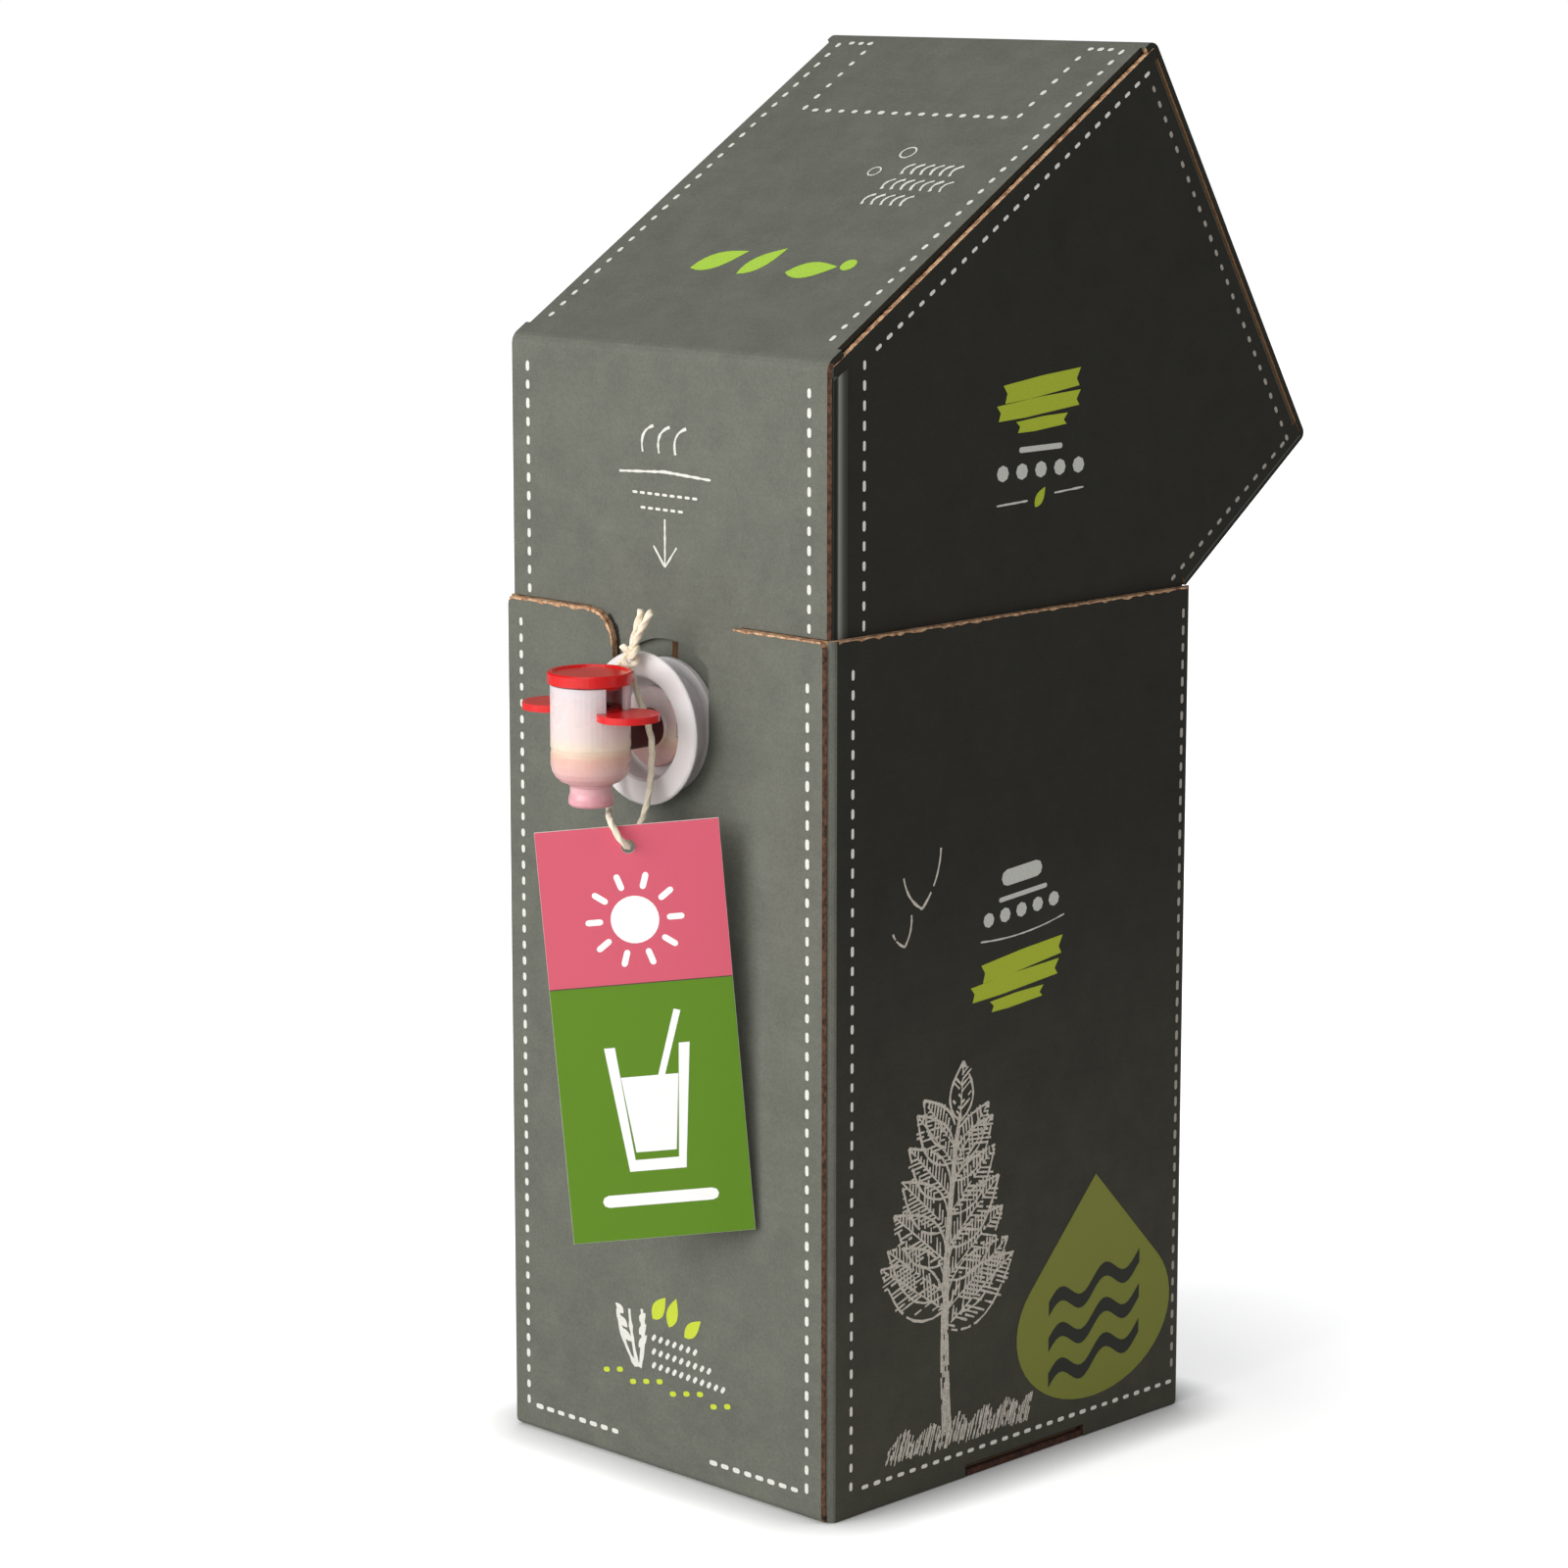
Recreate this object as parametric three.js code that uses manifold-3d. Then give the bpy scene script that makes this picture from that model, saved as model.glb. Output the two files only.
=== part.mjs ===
// Syrup box: a tilted carton head standing in an open carton sleeve, a sealed bag in the
// head, a gland with a finger-lift tap on the front, and a card tag on a cord.
// Millimetres, Z up, origin at the centre of the sleeve's base, front towards -Y.

import * as THREE from 'three';
import { mergeVertices } from 'three/addons/utils/BufferGeometryUtils.js';
import Module from 'manifold-3d';

const wasm = await Module();
wasm.setup();

// Sheet board and how the two cartons nest
const BOARD = 1.7;
const PLY_GAP = 0.2;
const FIT = 0.3;

// Lower carton (the stand)
const STAND_HALF = 60;
const STAND_DEEP = 141.8;
const STAND_HIGH = 229.8;
const FRONT = -STAND_DEEP / 2;
const FLAP_Y = BOARD + PLY_GAP;
const STAND_FLAP_END = 28;
const NOTCH_HALF = 17.8;
const NOTCH_FLARE = 9;
const SLOT = [53.2, 100.9];
const SLOT_HIGH = 3.3;

// Upper carton (the head and its legs)
const HEAD_HALF = STAND_HALF - BOARD - FIT;
const LEG_FOOT = 2.0;
const LEG_BACK = 139.8;
const HEAD_FRONT = 3.9;
const SHOULDER = [HEAD_FRONT, 297.8];
const APEX = [124.8, 373.3];
const REAR = [190.8, 265.6];
const HEEL = [141.6, 229.8];
const HOLE_RADIUS = 22.85;
const HOLE_Z = 201.4;
const GRIP_RADIUS = 14.5;
const TONGUE_HALF = 27.7;

// Gland and tap
const AXIS_Z = 201.9;
const TAP_Y = -24.65;
const BARREL = 10.3;
const BARREL_BORE = 8.7;
const BARREL_TOP = 215.6;
const STEM = 1.5;

// Cord, knot and tag
const CORD = 1.6;
const KNOT = [-0.1, -10.5, 221.5];
const TAG_WIDE = 47;
const TAG_LONG = 108.5;
const TAG_THICK = 0.5;
const TAG_HOLE = [12.9, -24, 175.2];
const TAG_HOLE_DOWN = 5.5;
const TAG_TURN = 4.9;
const TAG_ACROSS = [0.7135, 0.7006, 0];

const V3 = THREE.Vector3;

// Solids and booleans

function solid(geometry) {
  const bare = new THREE.BufferGeometry();
  bare.setAttribute('position', geometry.getAttribute('position').clone());
  if (geometry.index) bare.setIndex(geometry.index.clone());
  const merged = mergeVertices(bare, 1e-4);
  const place = merged.getAttribute('position').array;
  const index = merged.index.array;
  const kept = [];
  let volume = 0;
  for (let i = 0; i < index.length; i += 3) {
    const [a, b, c] = [index[i], index[i + 1], index[i + 2]];
    if (a === b || b === c || a === c) continue;
    kept.push(a, b, c);
    const p = [a, b, c].map((k) => new V3(place[3 * k], place[3 * k + 1], place[3 * k + 2]));
    volume += p[0].dot(p[1].clone().cross(p[2]));
  }
  if (volume < 0) kept.reverse();
  return new wasm.Manifold(new wasm.Mesh({
    numProp: 3,
    vertProperties: Float32Array.from(place),
    triVerts: Uint32Array.from(kept),
  }));
}

function geometryOf(shape) {
  const mesh = shape.getMesh();
  const geometry = new THREE.BufferGeometry();
  const place = Float32Array.from(mesh.vertProperties);
  geometry.setAttribute('position', new THREE.BufferAttribute(place, 3));
  geometry.setIndex(new THREE.BufferAttribute(Uint32Array.from(mesh.triVerts), 1));
  return geometry;
}

function join(...shapes) {
  return shapes.reduce((sum, shape) => sum.add(shape));
}

function cut(shape, ...tools) {
  return tools.reduce((rest, tool) => rest.subtract(tool), shape);
}

// Prisms: outline in two axes, drawn out along the third

function extruded(outline, depth, frame) {
  const shape = new THREE.Shape(outline.map(([u, v]) => new THREE.Vector2(u, v)));
  const geometry = new THREE.ExtrudeGeometry(shape, { depth, bevelEnabled: false });
  geometry.applyMatrix4(frame);
  return solid(geometry);
}

function frameOf(across, up, out, origin) {
  const frame = new THREE.Matrix4().makeBasis(
    new V3(...across), new V3(...up), new V3(...out));
  return frame.setPosition(new V3(...origin));
}

function alongX(outline, from, to) {
  return extruded(outline, to - from, frameOf([0, 1, 0], [0, 0, 1], [1, 0, 0], [from, 0, 0]));
}

function alongY(outline, from, to) {
  return extruded(outline, to - from, frameOf([1, 0, 0], [0, 0, 1], [0, -1, 0], [0, to, 0]));
}

function alongZ(outline, from, to) {
  return extruded(outline, to - from, frameOf([1, 0, 0], [0, 1, 0], [0, 0, 1], [0, 0, from]));
}

function block([x0, x1], [y0, y1], [z0, z1]) {
  return alongZ([[x0, y0], [x1, y0], [x1, y1], [x0, y1]], z0, z1);
}

function disc(radius, [x, z], from, to, steps = 48) {
  const outline = [];
  for (let i = 0; i < steps; i += 1) {
    const a = (2 * Math.PI * i) / steps;
    outline.push([x + radius * Math.cos(a), z + radius * Math.sin(a)]);
  }
  return alongY(outline, from, to);
}

function turned(profile, steps = 48) {
  const closed = [...profile, profile[0]];
  return new THREE.LatheGeometry(closed.map(([r, h]) => new THREE.Vector2(r, h)), steps);
}

// Turned about the tap's upright axis; heights are in Z
function upright(profile, steps) {
  const geometry = turned(profile, steps);
  geometry.rotateX(Math.PI / 2);
  geometry.translate(0, TAP_Y, 0);
  return solid(geometry);
}

// Turned about the gland's axis, front to back
function level(profile, steps) {
  const geometry = turned(profile, steps);
  geometry.translate(0, 0, AXIS_Z);
  return solid(geometry);
}

// Folded board: a strip of even thickness with round folds

function rounded(points, radii) {
  const out = [];
  points.forEach((p, i) => {
    if (i === 0 || i === points.length - 1 || radii[i] <= 0) {
      out.push(p);
      return;
    }
    const here = new THREE.Vector2(...p);
    const back = new THREE.Vector2(...points[i - 1]).sub(here).normalize();
    const ahead = new THREE.Vector2(...points[i + 1]).sub(here).normalize();
    const turn = Math.PI - Math.acos(THREE.MathUtils.clamp(back.dot(ahead), -1, 1));
    const reach = radii[i] * Math.tan(turn / 2);
    const from = here.clone().addScaledVector(back, reach);
    const to = here.clone().addScaledVector(ahead, reach);
    const middle = here.clone().addScaledVector(
      back.clone().add(ahead).normalize(), radii[i] / Math.cos(turn / 2));
    const steps = Math.max(3, Math.ceil(turn / 0.36));
    for (let k = 0; k <= steps; k += 1) {
      const mix = from.clone().lerp(to, k / steps).sub(middle).setLength(radii[i]);
      out.push([middle.x + mix.x, middle.y + mix.y]);
    }
  });
  return out;
}

// side is -1 where the board lies to the right of the line, 1 where it lies to the left
function strip(line, side, radii) {
  const dirs = line.slice(1).map((p, i) =>
    new THREE.Vector2(p[0] - line[i][0], p[1] - line[i][1]).normalize());
  const normals = dirs.map((d) => new THREE.Vector2(-d.y * side, d.x * side));
  const inner = line.map((p, i) => {
    const a = normals[Math.max(0, i - 1)];
    const b = normals[Math.min(normals.length - 1, i)];
    const k = BOARD / (1 + a.dot(b));
    return [p[0] + (a.x + b.x) * k, p[1] + (a.y + b.y) * k];
  });
  const outerRadii = [];
  const innerRadii = [];
  line.forEach((p, i) => {
    const inside = i > 0 && i < line.length - 1;
    const convex = inside && side * dirs[i - 1].cross(dirs[i]) > 0;
    const small = Math.max(0.4, radii[i] - BOARD);
    outerRadii.push(inside ? (convex ? radii[i] : small) : 0);
    innerRadii.push(inside ? (convex ? small : radii[i]) : 0);
  });
  return [...rounded(line, outerRadii), ...rounded(inner, innerRadii).reverse()];
}

function direction(a, b) {
  const d = new THREE.Vector2(b[0] - a[0], b[1] - a[1]);
  const length = d.length();
  return { length, along: [d.x / length, d.y / length] };
}

function shifted(p, d, by) {
  return [p[0] + d[0] * by, p[1] + d[1] * by];
}

const ROOF = direction(SHOULDER, APEX);
const BACK = direction(APEX, REAR);
const UNDER = direction(REAR, HEEL);
const ROOF_OUT = [-ROOF.along[1], ROOF.along[0]];
const BACK_OUT = [-BACK.along[1], BACK.along[0]];
const UNDER_IN = [UNDER.along[1], -UNDER.along[0]];
const BACK_IN = [-BACK_OUT[0], -BACK_OUT[1]];

// Lower carton: wrap of sides and back, floor folded from the back, front folded from the floor

function standNotch() {
  const top = STAND_HIGH;
  const wide = NOTCH_HALF + NOTCH_FLARE;
  const outline = [[-wide, top + 1], [-wide, top]];
  const arc = (cx, cz, r, a0, a1, n) => {
    for (let i = 1; i <= n; i += 1) {
      const a = THREE.MathUtils.degToRad(a0 + ((a1 - a0) * i) / n);
      outline.push([cx + r * Math.cos(a), cz + r * Math.sin(a)]);
    }
  };
  arc(-wide, top - NOTCH_FLARE, NOTCH_FLARE, 90, 0, 8);
  outline.push([-NOTCH_HALF, AXIS_Z]);
  arc(0, AXIS_Z, NOTCH_HALF, 180, 360, 28);
  outline.push([NOTCH_HALF, top - NOTCH_FLARE]);
  arc(wide, top - NOTCH_FLARE, NOTCH_FLARE, 180, 90, 8);
  outline.push([wide, top + 1]);
  return alongY(outline, -1, BOARD + 0.05);
}

function cornerTrim(x, side) {
  const r = 2.2;
  const outline = [[x + side, STAND_HIGH + 1], [x + side, STAND_HIGH - r], [x, STAND_HIGH - r]];
  for (let i = 1; i <= 4; i += 1) {
    const a = (Math.PI / 2) * (i / 4);
    outline.push([x - side * r * (1 - Math.cos(a)), STAND_HIGH - r + r * Math.sin(a)]);
  }
  outline.push([x - side * r, STAND_HIGH + 1]);
  return alongY(outline, -1, BOARD + 0.05);
}

function lowerCarton() {
  const panel = STAND_HALF - BOARD - PLY_GAP;
  const wrapLine = [
    [-STAND_FLAP_END, FLAP_Y], [-STAND_HALF, FLAP_Y], [-STAND_HALF, STAND_DEEP],
    [STAND_HALF, STAND_DEEP], [STAND_HALF, FLAP_Y], [STAND_FLAP_END, FLAP_Y]];
  const wrap = alongZ(strip(wrapLine, -1, [0, 2, 2.4, 2.4, 2, 0]), 0, STAND_HIGH);
  const heel = [[STAND_DEEP + 1, -1], [STAND_DEEP + 1, 3], [STAND_DEEP, 3]];
  for (let i = 1; i <= 5; i += 1) {
    const a = (Math.PI / 2) * (i / 5);
    heel.push([STAND_DEEP - 3 + 3 * Math.cos(a), 3 - 3 * Math.sin(a)]);
  }
  heel.push([STAND_DEEP - 3, -1]);
  const side = STAND_HALF - BOARD;
  const shaped = cut(wrap,
    alongX(heel, -STAND_HALF - 1, STAND_HALF + 1),
    block([-side, side], [1, 6], [-1, BOARD + FIT]),
    block([-side, side], [STAND_DEEP - 4, STAND_DEEP + 1], [228.3, STAND_HIGH + 1]),
    block([-STAND_HALF - 1, 1 - side], SLOT, [-1, SLOT_HIGH]),
    block([side - 1, STAND_HALF + 1], SLOT, [-1, SLOT_HIGH]));
  const floorLine = [
    [STAND_DEEP, 40], [STAND_DEEP, 0], [0, 0], [0, STAND_HIGH]];
  const floorStrip = alongX(strip(floorLine, -1, [0, 3, 2, 0]), -panel, panel);
  const front = cut(floorStrip, standNotch(), cornerTrim(panel, 1), cornerTrim(-panel, -1));
  const tabs = [-1, 1].map((s) => {
    const ends = [s * (panel - 1), s * (STAND_HALF - 0.2)].sort((a, b) => a - b);
    return block(ends, [SLOT[0] + 0.6, SLOT[1] - 0.6], [0, BOARD]);
  });
  return join(shaped, front, ...tabs);
}

// Upper carton: strip over front, roof, back and underside; sides folded up from the underside

function headStrip() {
  const out = BOARD + PLY_GAP;
  const y = HEAD_FRONT - out;
  const roofStart = shifted(SHOULDER, ROOF_OUT, out);
  const shoulder = [y, roofStart[1] - ((roofStart[0] - y) * ROOF.along[1]) / ROOF.along[0]];
  const apex = shifted(shifted(APEX, ROOF_OUT, out), BACK_OUT, out);
  const rear = shifted(REAR, BACK_OUT, out);
  const inner = shifted(REAR, UNDER.along, (REAR[0] - 7) / -UNDER.along[0]);
  const line = [[y, LEG_FOOT], shoulder, apex, rear, inner];
  const wide = HEAD_HALF - FIT;
  const whole = alongX(strip(line, -1, [0, 3.6, 3, 2.2, 0]), -wide, wide);

  const roofCut = [
    shifted(shifted(SHOULDER, ROOF.along, 5), ROOF_OUT, -2),
    shifted(shifted(SHOULDER, ROOF.along, 5), ROOF_OUT, 4),
    shifted(shifted(APEX, ROOF.along, -2.5), ROOF_OUT, 4),
    shifted(shifted(APEX, ROOF.along, -2.5), ROOF_OUT, -2)];
  const start = HEEL;
  const end = shifted(inner, UNDER.along, 3);
  const underCut = [
    shifted(start, UNDER_IN, -2), shifted(start, UNDER_IN, 4),
    shifted(end, UNDER_IN, 4), shifted(end, UNDER_IN, -2)];
  const roofHalf = HEAD_HALF - BOARD - PLY_GAP;
  const innerHalf = HEAD_HALF - BOARD - FIT;
  const tools = [];
  for (const s of [-1, 1]) {
    const span = (a, b) => [s * a, s * b].sort((p, q) => p - q);
    tools.push(alongX(roofCut, ...span(roofHalf, HEAD_HALF + 2)));
    tools.push(alongX(underCut, ...span(innerHalf, HEAD_HALF + 2)));
    tools.push(block(span(TONGUE_HALF, HEAD_HALF + 2), [1, HEAD_FRONT - 0.1],
      [0, STAND_HIGH + FIT]));
  }
  return cut(whole, ...tools, disc(HOLE_RADIUS, [0, HOLE_Z], 1, HEAD_FRONT - 0.1, 64));
}

function headSides() {
  const tuck = 3;
  const deep = HEAD_FRONT + tuck;
  const lowEdge = 295.5;
  const outline = [
    [deep, LEG_FOOT], [deep, lowEdge], [HEAD_FRONT, lowEdge], SHOULDER, APEX,
    shifted(APEX, BACK.along, 3),
    shifted(shifted(APEX, BACK.along, 3), BACK_IN, tuck),
    shifted(shifted(REAR, BACK_IN, tuck), UNDER_IN, tuck),
    shifted(HEEL, UNDER_IN, tuck),
    [LEG_BACK, LEG_FOOT + 3], [LEG_BACK - 3, LEG_FOOT]];
  return [-1, 1].map((s) => {
    const span = [s * HEAD_HALF, s * (HEAD_HALF - BOARD)].sort((a, b) => a - b);
    return alongX(outline, ...span);
  });
}

function frontFlaps() {
  const ends = { left: 0.6, right: 2.6 };
  const left = [[ends.left, HEAD_FRONT], [-HEAD_HALF, HEAD_FRONT], [-HEAD_HALF, 12]];
  const right = [[ends.right, HEAD_FRONT], [HEAD_HALF, HEAD_FRONT], [HEAD_HALF, 12]];
  const grip = disc(GRIP_RADIUS, [0, AXIS_Z], HEAD_FRONT - 0.5, HEAD_FRONT + 2.2, 48);
  return [
    cut(alongZ(strip(left, -1, [0, 2, 0]), LEG_FOOT, 295.5), grip),
    cut(alongZ(strip(right, 1, [0, 2, 0]), LEG_FOOT, 295.5), grip)];
}

function backFlaps() {
  const line = (s) => [[s * 25, 0], [s * HEAD_HALF, 0], [s * HEAD_HALF, 8]];
  const start = shifted(APEX, BACK.along, 3);
  const frame = frameOf([1, 0, 0], [0, ...BACK_IN], [0, ...BACK.along], [0, ...start]);
  const long = BACK.length - 5;
  return [
    extruded(strip(line(-1), -1, [0, 2, 0]), long, frame),
    extruded(strip(line(1), 1, [0, 2, 0]), long, frame)];
}

function underFold() {
  const line = [[-HEAD_HALF, 6], [-HEAD_HALF, 0], [HEAD_HALF, 0], [HEAD_HALF, 6]];
  const start = shifted(REAR, UNDER.along, 0.2);
  const frame = frameOf([1, 0, 0], [0, ...UNDER_IN], [0, ...UNDER.along], [0, ...start]);
  return extruded(strip(line, 1, [0, 2, 2, 0]), UNDER.length - 0.2, frame);
}

function upperCarton() {
  return join(headStrip(), ...headSides(), ...frontFlaps(), ...backFlaps(), underFold());
}

// Syrup bag: sealed, lying on the slanting panel and filling most of the head

function syrupBag() {
  const soft = 9;
  const side = HEAD_HALF - BOARD - 0.6;
  const at = (p, along, s, normal, up) => shifted(shifted(p, along, s), normal, up);
  const lift = BOARD + FIT + 0.1 + soft;
  const inner = (REAR[0] - 8 - soft) / -UNDER.along[0];
  const line = [
    at(REAR, UNDER.along, 15, UNDER_IN, lift), at(REAR, UNDER.along, inner - 8, UNDER_IN, lift),
    [8 + soft, 276], [30, 298 - soft], [72, 326 - soft],
    [118, 349 - soft], at(APEX, BACK.along, 30, BACK_IN, soft + 2.6),
    at(REAR, BACK.along, -24, BACK_IN, soft + 2.6)];
  const radii = line.map(() => 14);
  radii[0] = 9;
  radii[1] = 8;
  const loop = [line[line.length - 1], ...line, line[0]];
  const round = rounded(loop, [0, ...radii, 0]).slice(1, -1);
  const shape = new THREE.Shape(round.map(([u, v]) => new THREE.Vector2(u, v)));
  const geometry = new THREE.ExtrudeGeometry(shape, {
    depth: 2 * (side - soft), bevelEnabled: true, bevelThickness: soft, bevelSize: soft - 0.2,
    bevelSegments: 4 });
  geometry.applyMatrix4(frameOf([0, 1, 0], [0, 0, 1], [1, 0, 0], [soft - side, 0, 0]));
  return solid(geometry);
}

// Gland: fitting welded in the bag, its groove held by the head's front flaps

function gland() {
  const profile = [
    [9, -1], [12.9, -1], [13.3, -1.4], [13.3, -6.5], [13.9, -7.1], [19.5, -7.1], [20, -6.6],
    [20, -6.1], [19.5, -5.6], [14.6, -5.6], [14.6, 2.1], [17.5, 2.1], [17.5, 3.6], [14.1, 3.6],
    [14.1, 5.9], [19, 5.9], [19, 7.3], [9, 7.3]];
  const keys = [-1, 1].map((s) =>
    block([s * 10.1 - 0.8, s * 10.1 + 0.8], [-3, -0.6], [AXIS_Z - 1.5, AXIS_Z + 1.5]));
  return join(level(profile, 56), ...keys);
}

// Tap body: barrel with finger slots, bowl, nozzle, and the inlet that plugs into the gland

function tapBody() {
  const barrel = upright([
    [0, 184.2], [5.2, 184.2], [5.8, 184.8], [5.8, 186.2], [5.4, 187.6], [5.4, 189.2],
    [6.1, 190.0], [7.8, 190.7], [9.1, 191.9], [9.9, 193.3], [BARREL, 195.2],
    [BARREL, 198.0], [BARREL - 0.15, 198.3], [BARREL - 0.15, 199.4], [BARREL, 199.7],
    [BARREL, BARREL_TOP],
    [0, BARREL_TOP]], 46);
  const inlet = level([
    [0, TAP_Y + 4], [5.0, TAP_Y + 4], [5.0, -3.6], [5.6, -3.1], [10.2, -3.1], [10.6, -2.7],
    [10.6, -1.3], [8.7, -1.3], [8.7, 0.6], [7.2, 0.6], [7.2, 3.0], [8.7, 3.0], [8.7, 6.2], [8.1, 7.0], [0, 7.0]], 40);
  const tools = [
    upright([[0, 207.3], [BARREL_BORE, 207.3], [BARREL_BORE, BARREL_TOP + 1],
      [0, BARREL_TOP + 1]], 48),
    upright([[0, 198.2], [BARREL_BORE, 198.2], [BARREL_BORE, 206], [0, 206]], 48),
    upright([[0, 183], [4.3, 183], [4.3, 184.4], [3.7, 186], [3.7, 190.6], [8, 195.2],
      [8, 196.6], [3.4, 196.6], [3.4, 199], [0, 199]], 40),
    upright([[0, 205], [STEM + FIT, 205], [STEM + FIT, 208], [0, 208]], 20),
    level([[0, TAP_Y + 3], [3.5, TAP_Y + 3], [3.5, 8], [0, 8]], 28),
    block([-13, -6], [TAP_Y - 3.6, TAP_Y + 3.6], [207.5, BARREL_TOP + 1]),
    block([6, 13], [TAP_Y - 3.6, TAP_Y + 3.6], [207.5, BARREL_TOP + 1])];
  for (const s of [-1, 1]) {
    tools.push(block([s * 10.1 - 1.1, s * 10.1 + 1.1], [-3.4, -1.2], [AXIS_Z - 1.8, AXIS_Z + 1.8]));
  }
  return cut(join(barrel, inlet), ...tools);
}

function tapCap() {
  return upright([
    [0, 217.6], [5.2, 217.6], [5.2, 215.9], [7, 215.9], [7, 214.8], [8.4, 214.8],
    [8.4, 215.9], [10.7, 215.9], [11, 216.2], [11, 218.6], [10.6, 219.0], [9.8, 219.0],
    [9.3, 218.5], [0, 218.5]], 48);
}

// Finger wings: hub on the stem, and a plate on each side reaching out through the slots

function fingerWings() {
  const hub = upright([
    [0, 199.4], [2.0, 199.4], [2.0, 200.0], [STEM, 200.5], [STEM, 207.8], [8.2, 207.8],
    [8.2, 209.8], [5, 209.8], [5, 208.9], [0, 208.9]], 40);
  const clear = upright([[0, 207], [BARREL + FIT, 207], [BARREL + FIT, 211], [0, 211]], 46);
  const plates = [-1, 1].map((s) => {
    const outline = [];
    for (let i = 0; i < 40; i += 1) {
      const a = (2 * Math.PI * i) / 40;
      outline.push([s * (13.9 + 7.9 * Math.cos(a)), TAP_Y + 8.2 * Math.sin(a)]);
    }
    const neck = [s * 7, s * 13].sort((p, q) => p - q);
    const bridge = block(neck, [TAP_Y - 3.2, TAP_Y + 3.2], [207.8, 209.6]);
    return join(alongZ(outline, 207.8, 209.6).subtract(clear), bridge);
  });
  return join(hub, ...plates);
}

function valveSeal() {
  return upright([
    [0, 198.5], [4.6, 198.5], [4.6, 199.9], [3.2, 200.3], [3.0, 201.2], [1.85, 201.2],
    [1.85, 200.7], [2.35, 200.2], [2.35, 199.1], [0, 199.1]], 32);
}

function returnSpring() {
  const turns = 4.5;
  const from = 209.55;
  const to = 216.95;
  const points = [];
  for (let i = 0; i <= 60; i += 1) {
    const s = i / 60;
    const a = 2 * Math.PI * turns * s;
    points.push(new V3(3.8 * Math.cos(a), TAP_Y + 3.8 * Math.sin(a), from + (to - from) * s));
  }
  return tube(points, 0.35, 60, 6);
}

function oRing() {
  const profile = [];
  for (let i = 0; i < 8; i += 1) {
    const a = (2 * Math.PI * i) / 8;
    profile.push([8.1 + 0.58 * Math.cos(a), 1.8 + 0.58 * Math.sin(a)]);
  }
  return level(profile, 40);
}

// Round cord: ring of points carried along a smooth line

function tube(points, radius, steps, sides) {
  const line = new THREE.CatmullRomCurve3(points, false, 'centripetal');
  const shape = new THREE.Shape();
  for (let i = 0; i < sides; i += 1) {
    const a = (2 * Math.PI * i) / sides;
    const [u, v] = [radius * Math.cos(a), radius * Math.sin(a)];
    if (i === 0) shape.moveTo(u, v);
    else shape.lineTo(u, v);
  }
  const geometry = new THREE.ExtrudeGeometry(shape, { steps, extrudePath: line });
  return solid(geometry);
}

const TAG_OUT = [TAG_ACROSS[1], -TAG_ACROSS[0], 0];

function tagCord() {
  const bend = 3.3;
  const hole = new V3(...TAG_HOLE);
  const out = new V3(...TAG_OUT);
  const across = new V3(...TAG_ACROSS);
  const lean = (up, side) => new V3(0, 0, up).addScaledVector(across, side);
  const front = lean(0.8, -0.6);
  const behind = lean(0.85, 0.5);
  const loop = [0, -30, -60, -90, -120, -150, -180].map((deg) => {
    const a = THREE.MathUtils.degToRad(deg);
    return hole.clone().addScaledVector(out, bend * Math.cos(a))
      .addScaledVector(deg > -90 ? front : behind, bend * (1 + Math.sin(a)));
  });
  const points = [
    [-3.2, -10.5, 219.4], [-5.8, -10.5, 215.6], [-7.6, -10.5, 210], [-8.0, -10.5, 203],
    [-8.3, -10.7, 192], [-7.4, -12.0, 185.4], [-2.1, -16.4, 181.4], [5.0, -23.2, 182.0],
    [10.0, -27.3, 181.7], [12.4, -28.5, 180.4],
  ].map((p) => new V3(...p));
  const rise = [
    [11.0, -18.2, 179.4], [9.6, -15.2, 181.8], [8.9, -13.2, 185.4], [8.0, -11.4, 189.4],
    [7.7, -10.6, 194.9], [7.7, -10.5, 199.3], [6.6, -10.5, 203.4], [4.8, -10.5, 207.2],
    [2.8, -10.5, 211.1], [1.2, -10.5, 214.6], [0.4, -10.5, 217.6],
  ].map((p) => new V3(...p));
  return tube([...points, ...loop, ...rise], CORD / 2, 72, 8);
}

function cordKnot() {
  const turns = [[1.25, 0.35], [0.35, -0.9]].map(([tip, yaw]) => {
    const turn = new THREE.TorusGeometry(1.75, 0.95, 7, 16);
    turn.rotateX(tip);
    turn.rotateZ(yaw);
    turn.translate(...KNOT);
    return solid(turn);
  });
  const core = new THREE.SphereGeometry(1.9, 12, 8);
  core.translate(...KNOT);
  const [x, y, z] = KNOT;
  const tails = [
    [[x, y, z], [x + 1.4, y, z + 4.2], [x + 2.8, y, z + 8.1], [x + 4.2, y, z + 11.9]],
    [[x, y, z], [x + 2.4, y + 0.2, z + 4.5], [x + 4.9, y + 0.2, z + 8.3], [x + 7.6, y + 0.2, z + 11.9]],
  ].map((line) => tube(line.map((p) => new V3(...p)), CORD / 2, 12, 8));
  return join(...turns, solid(core), ...tails);
}

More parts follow.
